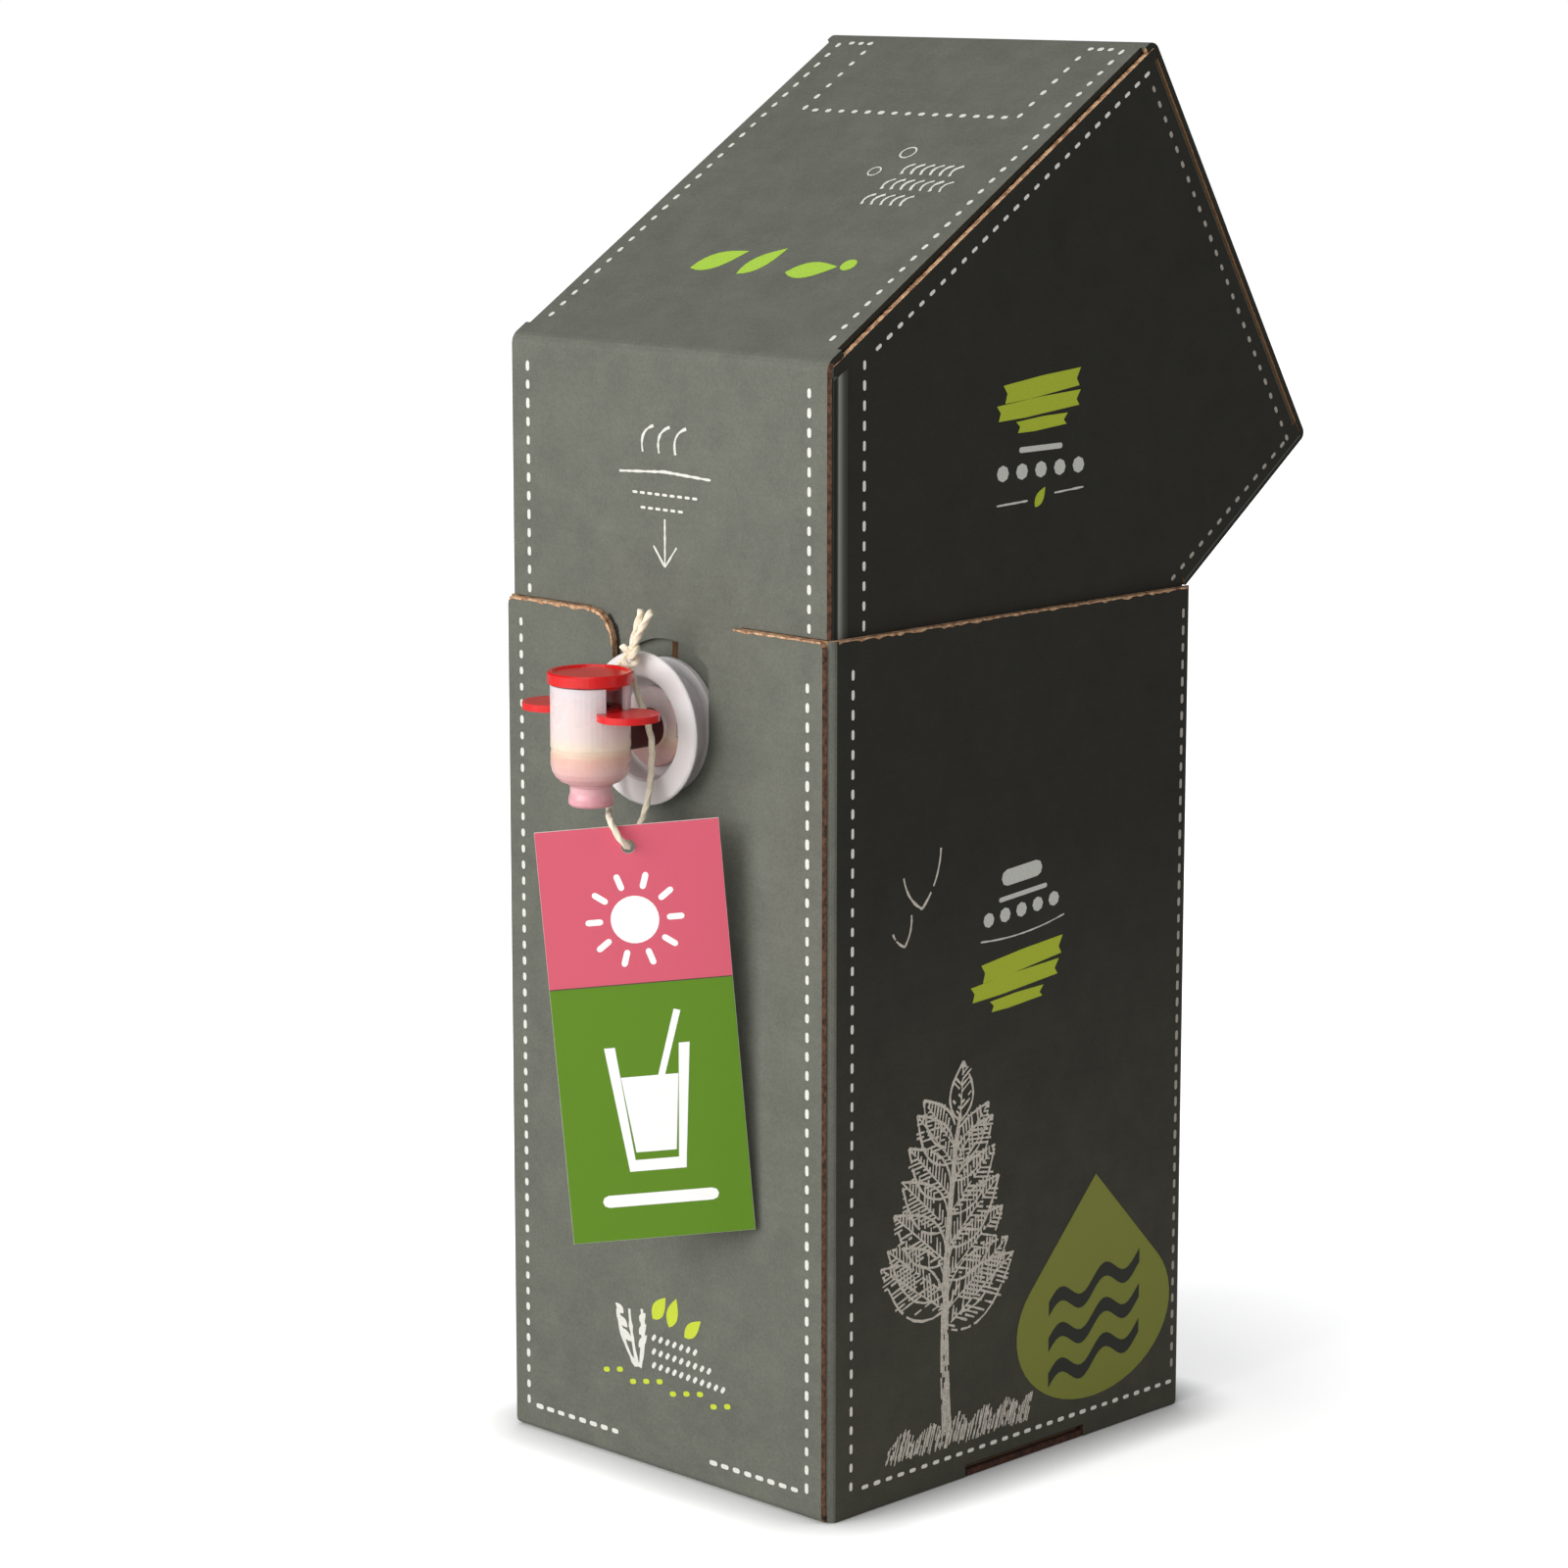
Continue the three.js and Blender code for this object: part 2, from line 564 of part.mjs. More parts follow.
function hangTag() {
  const turn = THREE.MathUtils.degToRad(TAG_TURN);
  const across = new V3(...TAG_ACROSS);
  const up = new V3(0, 0, 1);
  const out = new V3(...TAG_OUT);
  const right = across.clone().multiplyScalar(Math.cos(turn)).addScaledVector(up, Math.sin(turn));
  const top = up.clone().multiplyScalar(Math.cos(turn)).addScaledVector(across, -Math.sin(turn));
  const half = TAG_WIDE / 2;
  const shape = new THREE.Shape();
  shape.moveTo(-half, TAG_HOLE_DOWN);
  shape.lineTo(-half, TAG_HOLE_DOWN - TAG_LONG);
  shape.lineTo(half, TAG_HOLE_DOWN - TAG_LONG);
  shape.lineTo(half, TAG_HOLE_DOWN);
  shape.closePath();
  const hole = new THREE.Path();
  hole.absarc(0, 0, 1.8, 0, 2 * Math.PI, true);
  shape.holes.push(hole);
  const geometry = new THREE.ExtrudeGeometry(shape, {
    depth: TAG_THICK, bevelEnabled: false, curveSegments: 10 });
  const origin = new V3(...TAG_HOLE).addScaledVector(out, -TAG_THICK / 2);
  geometry.applyMatrix4(new THREE.Matrix4().makeBasis(right, top, out).setPosition(origin));
  return solid(geometry);
}

// Materials and the assembly

function material(name, colour, roughness = 0.7) {
  return new THREE.MeshStandardMaterial({ name, color: colour, roughness });
}

const board = material('printed_board', 0x6f7268, 0.85);
const film = material('bag_film', 0xd8d4cc, 0.4);
const white = material('white_plastic', 0xdcd8d8, 0.5);
const clear = material('cloudy_plastic', 0xddc9c9, 0.4);
const red = material('red_plastic', 0xd11a1a, 0.4);
const rubber = material('seal_rubber', 0x3a3a3a, 0.8);
const steel = material('spring_steel', 0xb8b8b8, 0.3);
const card = material('tag_card', 0xe06175, 0.8);
const cotton = material('cord_cotton', 0xddd3be, 0.9);

const group = new THREE.Group();

function add(name, shape, surface) {
  const geometry = geometryOf(shape);
  geometry.translate(0, FRONT, 0);
  geometry.computeVertexNormals();
  const mesh = new THREE.Mesh(geometry, surface);
  mesh.name = name;
  group.add(mesh);
}

add('lower_carton', lowerCarton(), board);
add('upper_carton', upperCarton(), board);
add('syrup_bag', syrupBag(), film);
add('gland', gland(), white);
add('tap_body', tapBody(), clear);
add('tap_cap', tapCap(), red);
add('finger_wings', fingerWings(), red);
add('valve_seal', valveSeal(), rubber);
add('return_spring', returnSpring(), steel);
add('tap_o_ring', oRing(), rubber);
add('hang_tag', hangTag(), card);
add('tag_cord', tagCord(), cotton);
add('cord_knot', cordKnot(), cotton);

export default group;
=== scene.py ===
import math
import random

import bpy
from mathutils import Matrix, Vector

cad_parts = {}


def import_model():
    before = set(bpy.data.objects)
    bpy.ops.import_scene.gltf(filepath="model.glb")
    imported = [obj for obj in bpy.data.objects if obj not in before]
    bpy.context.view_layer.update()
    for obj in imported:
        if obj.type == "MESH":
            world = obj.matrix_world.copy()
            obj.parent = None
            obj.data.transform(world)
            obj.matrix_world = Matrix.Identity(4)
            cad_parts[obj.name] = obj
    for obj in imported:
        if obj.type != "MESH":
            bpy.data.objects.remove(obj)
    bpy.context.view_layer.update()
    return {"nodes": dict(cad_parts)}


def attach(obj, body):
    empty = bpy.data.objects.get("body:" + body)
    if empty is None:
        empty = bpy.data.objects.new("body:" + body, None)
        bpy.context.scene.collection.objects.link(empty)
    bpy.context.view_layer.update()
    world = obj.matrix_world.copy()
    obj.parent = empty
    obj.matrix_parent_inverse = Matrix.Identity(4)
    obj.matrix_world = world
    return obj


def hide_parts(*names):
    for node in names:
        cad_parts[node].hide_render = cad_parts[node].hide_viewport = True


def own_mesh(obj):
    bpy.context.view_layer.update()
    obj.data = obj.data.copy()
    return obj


# The pack's sizes in millimetres, as in the frame; y is counted back from the front panel
MM = 0.001
FRONT = -70.9
STAND_HALF = 60.0
STAND_DEEP = 141.8
STAND_HIGH = 229.8
HEAD_HALF = 58.0
HEAD_FACE = 2.0
SHOULDER = (3.9, 297.8)
APEX = (124.8, 373.3)
REAR = (190.8, 265.6)
HEEL = (141.6, 229.8)
ROOF_START = (2.0, 298.85)
TAP_Y = -24.65
AXIS_Z = 201.9

# Print: its height above the board, and the rise of each outline over the last one
INK = 0.07
INK_STEP = 0.0003
INK_STEPS = 500

# Every printed panel looks this way rather than the other
PRINTS_LOOK = Vector((1, -1, 1))

# Cord: width, turn of its strands, sides and length of one ring of faces
CORD_WIDE = 1.85
TAIL_WIDE = 2.05
STRAND_PITCH = 4.2
ROPE_SIDES = 15
ROPE_STEP = 0.28

# Chalk and frayed board: length of one piece of a stroke
CHALK_STEP = 1.2
FRAY_STEP = 1.6

# Points drawn between two given ones of a smooth line
CURVE_STEPS = 24

# The tag hangs turned to the right and leans a little; the knot sits above it
TAG_HOLE = Vector((12.9, -24.0 + FRONT, 175.2))
TAG_ACROSS = Vector((0.7135, 0.7006, 0.0))
TAG_OUT = Vector((0.7006, -0.7135, 0.0))
TAG_TURN = math.radians(4.9)
TAG_THICK = 0.5
TAG_HOLE_RADIUS = 1.82
KNOT = Vector((-0.1, -10.5 + FRONT, 221.5))
KNOT_SIZE = 1.02

# The photograph's view, in metres and degrees
VIEW_PLACE = (0.84355, -0.88442, 0.40578)
VIEW_DOWN = 10.607
VIEW_TURN = 44.477
VIEW_LENS = 105.69

# Inside the tap, painted dark red as syrup deepened by painted shade: radius and ends of the inlet
# tube, radius and floor of the barrel
TUBE = 5.3
TUBE_FROM = -14.3
TUBE_TO = -3.5
BARREL = 8.6
BARREL_FLOOR = 198.5

# Surfaces of the boards, in the order of their material slots; the side board and the edges in the
# corners and by the floor are darker copies, painted shade
PRINT, CUT, INSIDE, SIDE_PAINTED_SHADE, CORNER_PAINTED_SHADE, LOW_PAINTED_SHADE = range(6)

# Outer folds of the lower carton across the sheet: centre and radius
SIDE_FOLDS = (((58, 3.9), 2), ((57.6, 139.4), 2.4))
FOOT_FOLDS = (((2, 2), 2), ((138.8, 3), 3))

# A face looks along an axis, or squarely so, above these shares of its normal
FACING = 0.7
SQUARE = 0.97

# A face lies on a plane within this distance; the outer ply is further out than the inner
ON_PLANE = 0.06
OUTER_PLY = 1.8

# Board thickness, and how far down the lower carton's cut rim reaches
BOARD = 1.7
RIM = 3.8

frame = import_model()
NODES = frame["nodes"]
rng = random.Random(7)


# Colour and node helpers

def linear(code):
    """A colour code as the linear values that a shader takes."""
    parts = [int(code[i:i + 2], 16) / 255 for i in (1, 3, 5)]
    return tuple(
        c / 12.92 if c <= 0.04045 else ((c + 0.055) / 1.055) ** 2.4 for c in parts) + (1.0,)


def add(tree, kind, props=(), **inputs):
    """One shader node; props are attributes, inputs are values or sockets to link.

    An input is named by its label, or by i and its place among the inputs.
    """
    made = tree.nodes.new(kind)
    for key, value in dict(props).items():
        setattr(made, key, value)
    for key, value in inputs.items():
        place = int(key[1:]) if key[1:].isdigit() else key.replace("_", " ")
        socket = made.inputs[place]
        if isinstance(value, bpy.types.NodeSocket):
            tree.links.new(value, socket)
        else:
            socket.default_value = value
    return made


def new_material(name):
    """An empty material with its node tree and output."""
    made = bpy.data.materials.new(name)
    made.use_nodes = True
    tree = made.node_tree
    tree.nodes.clear()
    out = tree.nodes.new("ShaderNodeOutputMaterial")
    return made, tree, out


def place_of(tree, scale):
    """Object position in millimetres, stretched by scale."""
    coords = add(tree, "ShaderNodeTexCoord")
    return add(tree, "ShaderNodeMapping", Vector=coords.outputs["Object"],
               Scale=tuple(1000 * s for s in scale)).outputs["Vector"]


def ramp(tree, fac, low, high, a, b):
    """Colour a up to low, b from high on."""
    made = add(tree, "ShaderNodeValToRGB", Fac=fac)
    made.color_ramp.elements[0].position = low
    made.color_ramp.elements[0].color = a
    made.color_ramp.elements[1].position = high
    made.color_ramp.elements[1].color = b
    return made.outputs["Color"]


def noise(tree, across, along=None, **more):
    """Noise over the object's place; across and along its height set how fine it is."""
    place = place_of(tree, (across, across, along or across))
    return add(tree, "ShaderNodeTexNoise", Vector=place, Scale=1.0, **more).outputs["Fac"]


def bump(tree, height, strength, distance, **more):
    """The normal of a surface that rises with height."""
    return add(tree, "ShaderNodeBump", Height=height, Strength=strength, Distance=distance,
               **more).outputs["Normal"]


def shade(tree, out, **inputs):
    """Ends a material with a shader of these inputs."""
    shader = add(tree, "ShaderNodeBsdfPrincipled", **inputs)
    tree.links.new(shader.outputs[0], out.inputs[0])


# Materials

def board_print(name, low, high, sheen=0.5, foot=1.0):
    """Uncoated board flooded with green-grey ink: mottled, soft sheen, faint flute waves; foot
    scales the colour up towards the bottom as painted bounce light.
    """
    made, tree, out = new_material(name)
    blotch = noise(tree, 0.09, Detail=5.0, Roughness=0.65)
    grain = noise(tree, 1.5, Detail=3.0, Roughness=0.7)
    base = ramp(tree, blotch, 0.3, 0.75, linear(low), linear(high))
    speck = ramp(tree, grain, 0.3, 0.75, (0.8, 0.8, 0.8, 1), (1.12, 1.12, 1.1, 1))
    colour = add(tree, "ShaderNodeMix", {"data_type": "RGBA", "blend_type": "MULTIPLY"},
                 i0=1.0, i6=base, i7=speck)
    coords = add(tree, "ShaderNodeTexCoord")
    split = add(tree, "ShaderNodeSeparateXYZ", Vector=coords.outputs["Object"])
    # Painted bounce light: the colour is scaled by foot at the bottom, easing to 1 at 170 mm up
    painted_bounce_light = add(tree, "ShaderNodeMapRange", Value=split.outputs["Z"], i1=0.0, i2=0.17, i3=foot,
                i4=1.0)
    toned = add(tree, "ShaderNodeVectorMath", {"operation": "SCALE"}, i0=colour.outputs[2],
                Scale=painted_bounce_light.outputs[0])
    wave = add(tree, "ShaderNodeTexWave", {"bands_direction": "Z"},
               Vector=place_of(tree, (1, 1, 1)), Scale=0.095, Distortion=1.5, Detail=1.0)
    fine = bump(tree, grain, 0.35, 0.00025)
    flute = bump(tree, wave.outputs["Fac"], 0.10, 0.0003, Normal=fine)
    shade(tree, out, Base_Color=toned.outputs[0], Roughness=0.62, IOR=1.42,
          Specular_IOR_Level=sheen, Normal=flute)
    return made


def board_edge(name, low, high):
    """Cut edge of the board: brown kraft with the flute's dark cells between the liners."""
    made, tree, out = new_material(name)
    cell = noise(tree, 0.55, Detail=4.0, Roughness=0.7)
    colour = ramp(tree, cell, 0.38, 0.62, linear(low), linear(high))
    shade(tree, out, Base_Color=colour, Roughness=0.9, Normal=bump(tree, cell, 0.8, 0.0006))
    return made


def board_inside():
    """Unprinted inner liner: plain brown paper."""
    made, tree, out = new_material("plain inner liner")
    grain = noise(tree, 0.8, Detail=4.0)
    colour = ramp(tree, grain, 0.3, 0.7, linear("#9A7450"), linear("#B38A62"))
    shade(tree, out, Base_Color=colour, Roughness=0.9)
    return made


def ink(name, code, wear=0.0):
    """Printed ink: one flat colour, broken a little by the board's tooth."""
    made, tree, out = new_material(name)
    tooth = noise(tree, 2.2, Detail=3.0, Roughness=0.8)
    full = linear(code)
    worn = tuple(c * (1 - wear) for c in full[:3]) + (1.0,)
    colour = ramp(tree, tooth, 0.35, 0.6, worn, full)
    shade(tree, out, Base_Color=colour, Roughness=0.7, Normal=bump(tree, tooth, 0.2, 0.0002))
    return made


def plastic(name, code, rough, scatter=0.0, radius=(1.0, 1.0, 1.0)):
    """Moulded plastic: smooth, softly lit from inside where it is cloudy."""
    made, tree, out = new_material(name)
    haze = noise(tree, 0.12, Detail=2.0)
    rough_map = add(tree, "ShaderNodeMapRange", Value=haze, i3=rough * 0.85, i4=rough * 1.15)
    shade(tree, out, Base_Color=linear(code), Roughness=rough_map.outputs[0], IOR=1.5,
          Subsurface_Weight=scatter, Subsurface_Radius=radius, Subsurface_Scale=0.004)
    return made


def cloudy_tap():
    """Cloudy moulding: lilac white above, a cream band, pink where syrup shows in the bowl."""
    made = plastic("cloudy tap plastic", "#E8CFCF", 0.28, 0.5, (1.0, 0.4, 0.35))
    tree = made.node_tree
    shader = next(node for node in tree.nodes if node.type == "BSDF_PRINCIPLED")
    coords = add(tree, "ShaderNodeTexCoord")
    place = add(tree, "ShaderNodeSeparateXYZ", Vector=coords.outputs["Object"])
    height = add(tree, "ShaderNodeMapRange", Value=place.outputs["Z"], i1=0.184, i2=0.217)
    bands = add(tree, "ShaderNodeValToRGB", Fac=height.outputs[0])
    tones = [(0.0, "#D595A1"), (0.14, "#DCABB2"), (0.2, "#D29C9F"), (0.3, "#DAB3AF"),
             (0.4, "#DBB1A3"), (0.44, "#E2C3AE"), (0.49, "#E8D2C1"), (0.58, "#E4CDCB"),
             (1.0, "#D6CBD0")]
    while len(bands.color_ramp.elements) < len(tones):
        bands.color_ramp.elements.new(0.5)
    for k, (at, code) in enumerate(tones):
        bands.color_ramp.elements[k].position = at
        bands.color_ramp.elements[k].color = linear(code)
    tree.links.new(bands.outputs["Color"], shader.inputs["Base Color"])
    return made


def rubber():
    """Seal rubber: dark, dull."""
    return plastic("seal rubber", "#2E2C2C", 0.8)


def steel():
    """Drawn spring wire: bright metal with a brushed finish."""
    made, tree, out = new_material("spring wire")
    lines = noise(tree, 3, 0.4)
    rough_map = add(tree, "ShaderNodeMapRange", Value=lines, i3=0.25, i4=0.4)
    shade(tree, out, Base_Color=linear("#B8B8B8"), Metallic=1.0, Roughness=rough_map.outputs[0])
    return made


def bag_film():
    """Bag film: pale clouded skin with soft creases."""
    made, tree, out = new_material("bag film")
    crease = noise(tree, 0.05, Detail=4.0)
    shade(tree, out, Base_Color=linear("#C9B79A"), Roughness=0.3,
          Normal=bump(tree, crease, 0.6, 0.004))
    return made


def cotton():
    """Twisted natural cotton: pale, fibrous, no shine."""
    made, tree, out = new_material("cotton cord")
    fibre = noise(tree, 4, 1.5, Detail=3.0)
    colour = ramp(tree, fibre, 0.3, 0.7, linear("#DDD2B4"), linear("#F7F1E0"))
    shade(tree, out, Base_Color=colour, Roughness=0.95, Sheen_Weight=0.3,
          Normal=bump(tree, fibre, 0.5, 0.0002))
    return made


# Board faces: printed outside, plain inside, brown cut edges; darker copies on the sides and on
# some edges are painted shade

def toward(v, axis):
    """How far v reaches along axis."""
    return v[0] * axis[0] + v[1] * axis[1]


def unit(a, b):
    """Direction from a to b."""
    long = math.hypot(b[0] - a[0], b[1] - a[1])
    return ((b[0] - a[0]) / long, (b[1] - a[1]) / long)


ROOF = unit(SHOULDER, APEX)
BACK = unit(APEX, REAR)
UNDER = unit(REAR, HEEL)
ROOF_OUT = (-ROOF[1], ROOF[0])
BACK_OUT = (-BACK[1], BACK[0])
UNDER_OUT = (-UNDER[1], UNDER[0])


def on_fold(p, folds):
    """Whether p lies on one of the folds' round outer faces."""
    return any(abs(math.hypot(p[0] - q[0], p[1] - q[1]) - radius) < 0.15 for q, radius in folds)


def stand_face(x, y, z, n):
    """Surface of a face of the lower carton, by its centre and normal."""
    out = abs(x)
    if n.y < -FACING and y < ON_PLANE:
        return PRINT
    if n.y > FACING and y > STAND_DEEP - 0.1 and z < STAND_HIGH - 0.8:
        return PRINT
    # Flat sides take the darker side board: painted shade
    if abs(n.x) > SQUARE and out > STAND_HALF - 0.1:
        return SIDE_PAINTED_SHADE
    if n.z < -FACING and z < ON_PLANE and out < STAND_HALF - OUTER_PLY:
        return PRINT
    if abs(n.z) < 0.1 and on_fold((out, y), SIDE_FOLDS) and out > HEAD_HALF - 0.1:
        return PRINT
    if abs(n.x) < 0.1 and on_fold((y, z), FOOT_FOLDS):
        return PRINT
    if z > STAND_HIGH - RIM and abs(n.z) > 0.3:
        return CUT
    # Cut edges near the corners take a darker kraft: painted shade
    if y < BOARD + 0.02 and abs(n.y) < 0.3:
        return CUT if out < 30 else CORNER_PAINTED_SHADE
    # Board edges by the floor take the darkest kraft: painted shade
    if z < 4 and out > HEAD_HALF:
        return LOW_PAINTED_SHADE
    return INSIDE


def head_face(x, y, z, n):
    """Surface of a face of the upper carton, by its centre and normal."""
    out = abs(x)
    looks = (n.y, n.z)
    roof = toward((y - SHOULDER[0], z - SHOULDER[1]), ROOF_OUT)
    back = toward((y - APEX[0], z - APEX[1]), BACK_OUT)
    under = toward((y - REAR[0], z - REAR[1]), UNDER_OUT)
    face = SHOULDER[0] - y
    # Flat sides take the darker side board: painted shade
    if abs(n.x) > SQUARE and out > HEAD_HALF - 0.1:
        return SIDE_PAINTED_SHADE
    if toward(looks, ROOF_OUT) > FACING and roof > OUTER_PLY:
        return PRINT
    if n.y < -FACING and face > OUTER_PLY or n.y < -0.5 and abs(face) < ON_PLANE:
        return PRINT
    if toward(looks, BACK_OUT) > FACING and (back > OUTER_PLY or abs(back) < ON_PLANE):
        return PRINT
    if toward(looks, UNDER_OUT) > FACING and (abs(under) < 0.05 or out < 56):
        return PRINT
    behind_stand = z < STAND_HIGH - RIM and -0.1 < face < OUTER_PLY
    if abs(n.x) < 0.05 and max(roof, back, face) > 1.0 and y > 0 and not behind_stand:
        return PRINT
    if 0.02 < abs(n.x) < 0.99 and 57.0 < out < HEAD_HALF + 0.05:
        return PRINT
    # Cut edges of the side strips: the darker side board further back, the dark corner edge at the
    # front, both painted shade
    if abs(n.x) > 0.9 and min(abs(out - 57.7), abs(out - 56.1)) < 0.05:
        return SIDE_PAINTED_SHADE if y > 4 else CORNER_PAINTED_SHADE
    if toward(looks, ROOF_OUT) > FACING and abs(roof) < ON_PLANE or face > 0.1:
        return CUT
    return INSIDE


def paint_board(obj, rule, surfaces):
    """Gives each face of a carton the surface that the rule names."""
    mesh = obj.data
    mesh.materials.clear()
    for surface in surfaces:
        mesh.materials.append(surface)
    for face in mesh.polygons:
        c = face.center
        face.material_index = rule(c.x / MM, c.y / MM - FRONT, c.z / MM, face.normal)


def paint(obj, surface, smooth=True):
    """One surface all over, with round faces smoothed up to the edges."""
    obj.data.materials.clear()
    obj.data.materials.append(surface)
    if smooth:
        obj.data.shade_smooth()
        obj.data.set_sharp_from_angle(angle=math.radians(32))


def shorten_spring(spring):
    """Gives the spring a mesh of its own; its shape stays as the frame gives it."""
    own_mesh(spring)


def paint_tap(obj, cloudy, syrup_red_and_shade):
    """Cloudy outside; dark red inside the barrel and along the inlet tube: the syrup's red,
    deepened as painted shade.
    """
    paint(obj, cloudy)
    obj.data.materials.append(syrup_red_and_shade)
    for face in obj.data.polygons:
        c = face.center / MM
        y = c.y - FRONT
        tube = math.hypot(c.x, c.z - AXIS_Z) < TUBE and TUBE_FROM < y < TUBE_TO
        barrel = math.hypot(c.x, y - TAP_Y) < BARREL and c.z > BARREL_FLOOR
        face.material_index = 1 if tube or barrel else 0


# Panels: a flat drawing surface each, in millimetres

def on_stand_front(u, v):
    """Lower carton's front: u to the right, v up."""
    return (u, FRONT - INK, v)


def on_head_front(u, v):
    """Upper carton's front: u to the right, v up."""
    return (u, FRONT + HEAD_FACE - INK, v)


def on_stand_side(u, v):
    """Lower carton's right side: u back from the front, v up."""
    return (STAND_HALF + INK, u + FRONT, v)


def on_head_side(u, v):
    """Upper carton's right side: u back from the front, v up."""
    return (HEAD_HALF + INK, u + FRONT, v)


def on_roof(u, v):
    """Upper carton's roof: u to the right, v up its slope."""
    y = ROOF_START[0] + ROOF[0] * v + ROOF_OUT[0] * INK
    z = ROOF_START[1] + ROOF[1] * v + ROOF_OUT[1] * INK
    return (u, y + FRONT, z)


def tag_axes():
    """The tag's own directions to the right and up."""
    up = Vector((0, 0, 1))
    right = TAG_ACROSS * math.cos(TAG_TURN) + up * math.sin(TAG_TURN)
    top = up * math.cos(TAG_TURN) - TAG_ACROSS * math.sin(TAG_TURN)
    return right, top


def on_tag(lift):
    """The tag's face, raised by lift: u to the right and v up from its hole."""
    right, top = tag_axes()

    def place(u, v):
        return tuple(TAG_HOLE + right * u + top * v + TAG_OUT * (TAG_THICK / 2 + lift))
    return place


def link(obj):
    """Puts an object in the scene."""
    bpy.context.scene.collection.objects.link(obj)
    return obj


def flat(name, place, outlines, surface, lift=0.0):
    """Thin print, also used for painted shadow and highlight: outlines laid flat on a panel, each a
    hair above the one before it.
    """
    points = []
    faces = []
    for outline in outlines:
        start = len(points)
        points += [tuple(MM * c for c in place(u, v)) for u, v in outline]
        faces.append(list(range(start, start + len(outline))))
    mesh = bpy.data.meshes.new(name)
    mesh.from_pydata(points, [], faces)
    mesh.materials.append(surface)
    obj = link(bpy.data.objects.new(name, mesh))
    mesh.update()
    out = mesh.polygons[0].normal.copy()
    if out.dot(PRINTS_LOOK) < 0:
        out = -out
    for k, face in enumerate(mesh.polygons):
        rise = out * (lift + INK_STEP * (k % INK_STEPS)) * MM
        for index in face.vertices:
            mesh.vertices[index].co += rise
    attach(obj, "box")
    return obj


# Drawing: dashes, chalk strokes and simple outlines

def dash(x, y, along, long, wide):
    """A stitch or bar with round ends."""
    side = (-along[1], along[0])
    half = (long - wide) / 2
    outline = []
    for end in (1, -1):
        for k in range(5):
            a = math.pi * (k / 4 - 0.5)
            out = end * (half + wide / 2 * math.cos(a))
            over = end * wide / 2 * math.sin(a)
            outline.append((x + along[0] * out + side[0] * over,
                            y + along[1] * out + side[1] * over))
    return outline


def stitches(a, b, pitch, long, wide):
    """A seam of uneven stitches from a to b."""
    length = math.hypot(b[0] - a[0], b[1] - a[1])
    along = unit(a, b)
    count = max(1, round((length - long) / pitch))
    gap = (length - long) / count
    out = []
    for k in range(count + 1):
        s = long / 2 + gap * k
        size = long * rng.uniform(0.92, 1.08)
        out.append(dash(a[0] + along[0] * s, a[1] + along[1] * s, along, size,
                        wide * rng.uniform(0.9, 1.08)))
    return out


def chalk(points, wide, skip):
    """A stroke of chalk: short quads of uneven width with a few left out."""
    line = []
    for a, b in zip(points, points[1:]):
        n = max(1, int(math.hypot(b[0] - a[0], b[1] - a[1]) / CHALK_STEP))
        line += [(a[0] + (b[0] - a[0]) * k / n, a[1] + (b[1] - a[1]) * k / n) for k in range(n)]
    line.append(points[-1])
    out = []
    widths = [wide * rng.uniform(0.55, 1.15) / 2 for _ in line]
    for k in range(len(line) - 1):
        if rng.random() < skip:
            continue
        a, b = line[k], line[k + 1]
        d = unit(a, b)
        s = (-d[1], d[0])
        wa, wb = widths[k], widths[k + 1]
        out.append([(a[0] + s[0] * wa, a[1] + s[1] * wa), (a[0] - s[0] * wa, a[1] - s[1] * wa),
                    (b[0] - s[0] * wb, b[1] - s[1] * wb), (b[0] + s[0] * wb, b[1] + s[1] * wb)])
    return out


def curve(a, b, bow, n=10):
    """Points from a to b, bowed sideways."""
    d = (b[0] - a[0], b[1] - a[1])
    return [(a[0] + d[0] * t - d[1] * bow * 4 * t * (1 - t),
             a[1] + d[1] * t + d[0] * bow * 4 * t * (1 - t)) for t in
            [k / n for k in range(n + 1)]]


def leaf_outline(x, y, long, wide, angle):
    """A pointed leaf, widest nearer its stalk."""
    n = 9
    c, s = math.cos(angle), math.sin(angle)
    top = [(long * k / n, wide / 2 * math.sin(math.pi * (k / n) ** 0.8)) for k in range(n + 1)]
    loop = top + [(u, -v) for u, v in reversed(top[1:-1])]
    return [(x + u * c - v * s, y + u * s + v * c) for u, v in loop]


def hatched_leaf(x, y, long, wide, angle):
    """A chalk leaf: outline, midrib and close slanting hatch."""
    c, s = math.cos(angle), math.sin(angle)
    outline = leaf_outline(x, y, long, wide, angle)
    out = chalk(outline + outline[:1], 0.8, 0.1)
    out += chalk([(x, y), (x + long * c, y + long * s)], 0.6, 0.1)
    count = int(long / 1.5)
    for k in range(1, count):
        t = k / count
        half = wide / 2 * math.sin(math.pi * t ** 0.8) * rng.uniform(0.75, 1.05)
        u0 = long * t
        for sign in (1, -1):
            if rng.random() < 0.15:
                continue
            u1 = min(long, u0 + half * 0.8)
            a = (x + u0 * c, y + u0 * s)
            b = (x + u1 * c - sign * half * s, y + u1 * s + sign * half * c)
            out += chalk([a, b], 0.7, 0.1)
    return out


def circle(x, y, r, n=24):
    """A round dot."""
    return [(x + r * math.cos(2 * math.pi * k / n), y + r * math.sin(2 * math.pi * k / n))
            for k in range(n)]


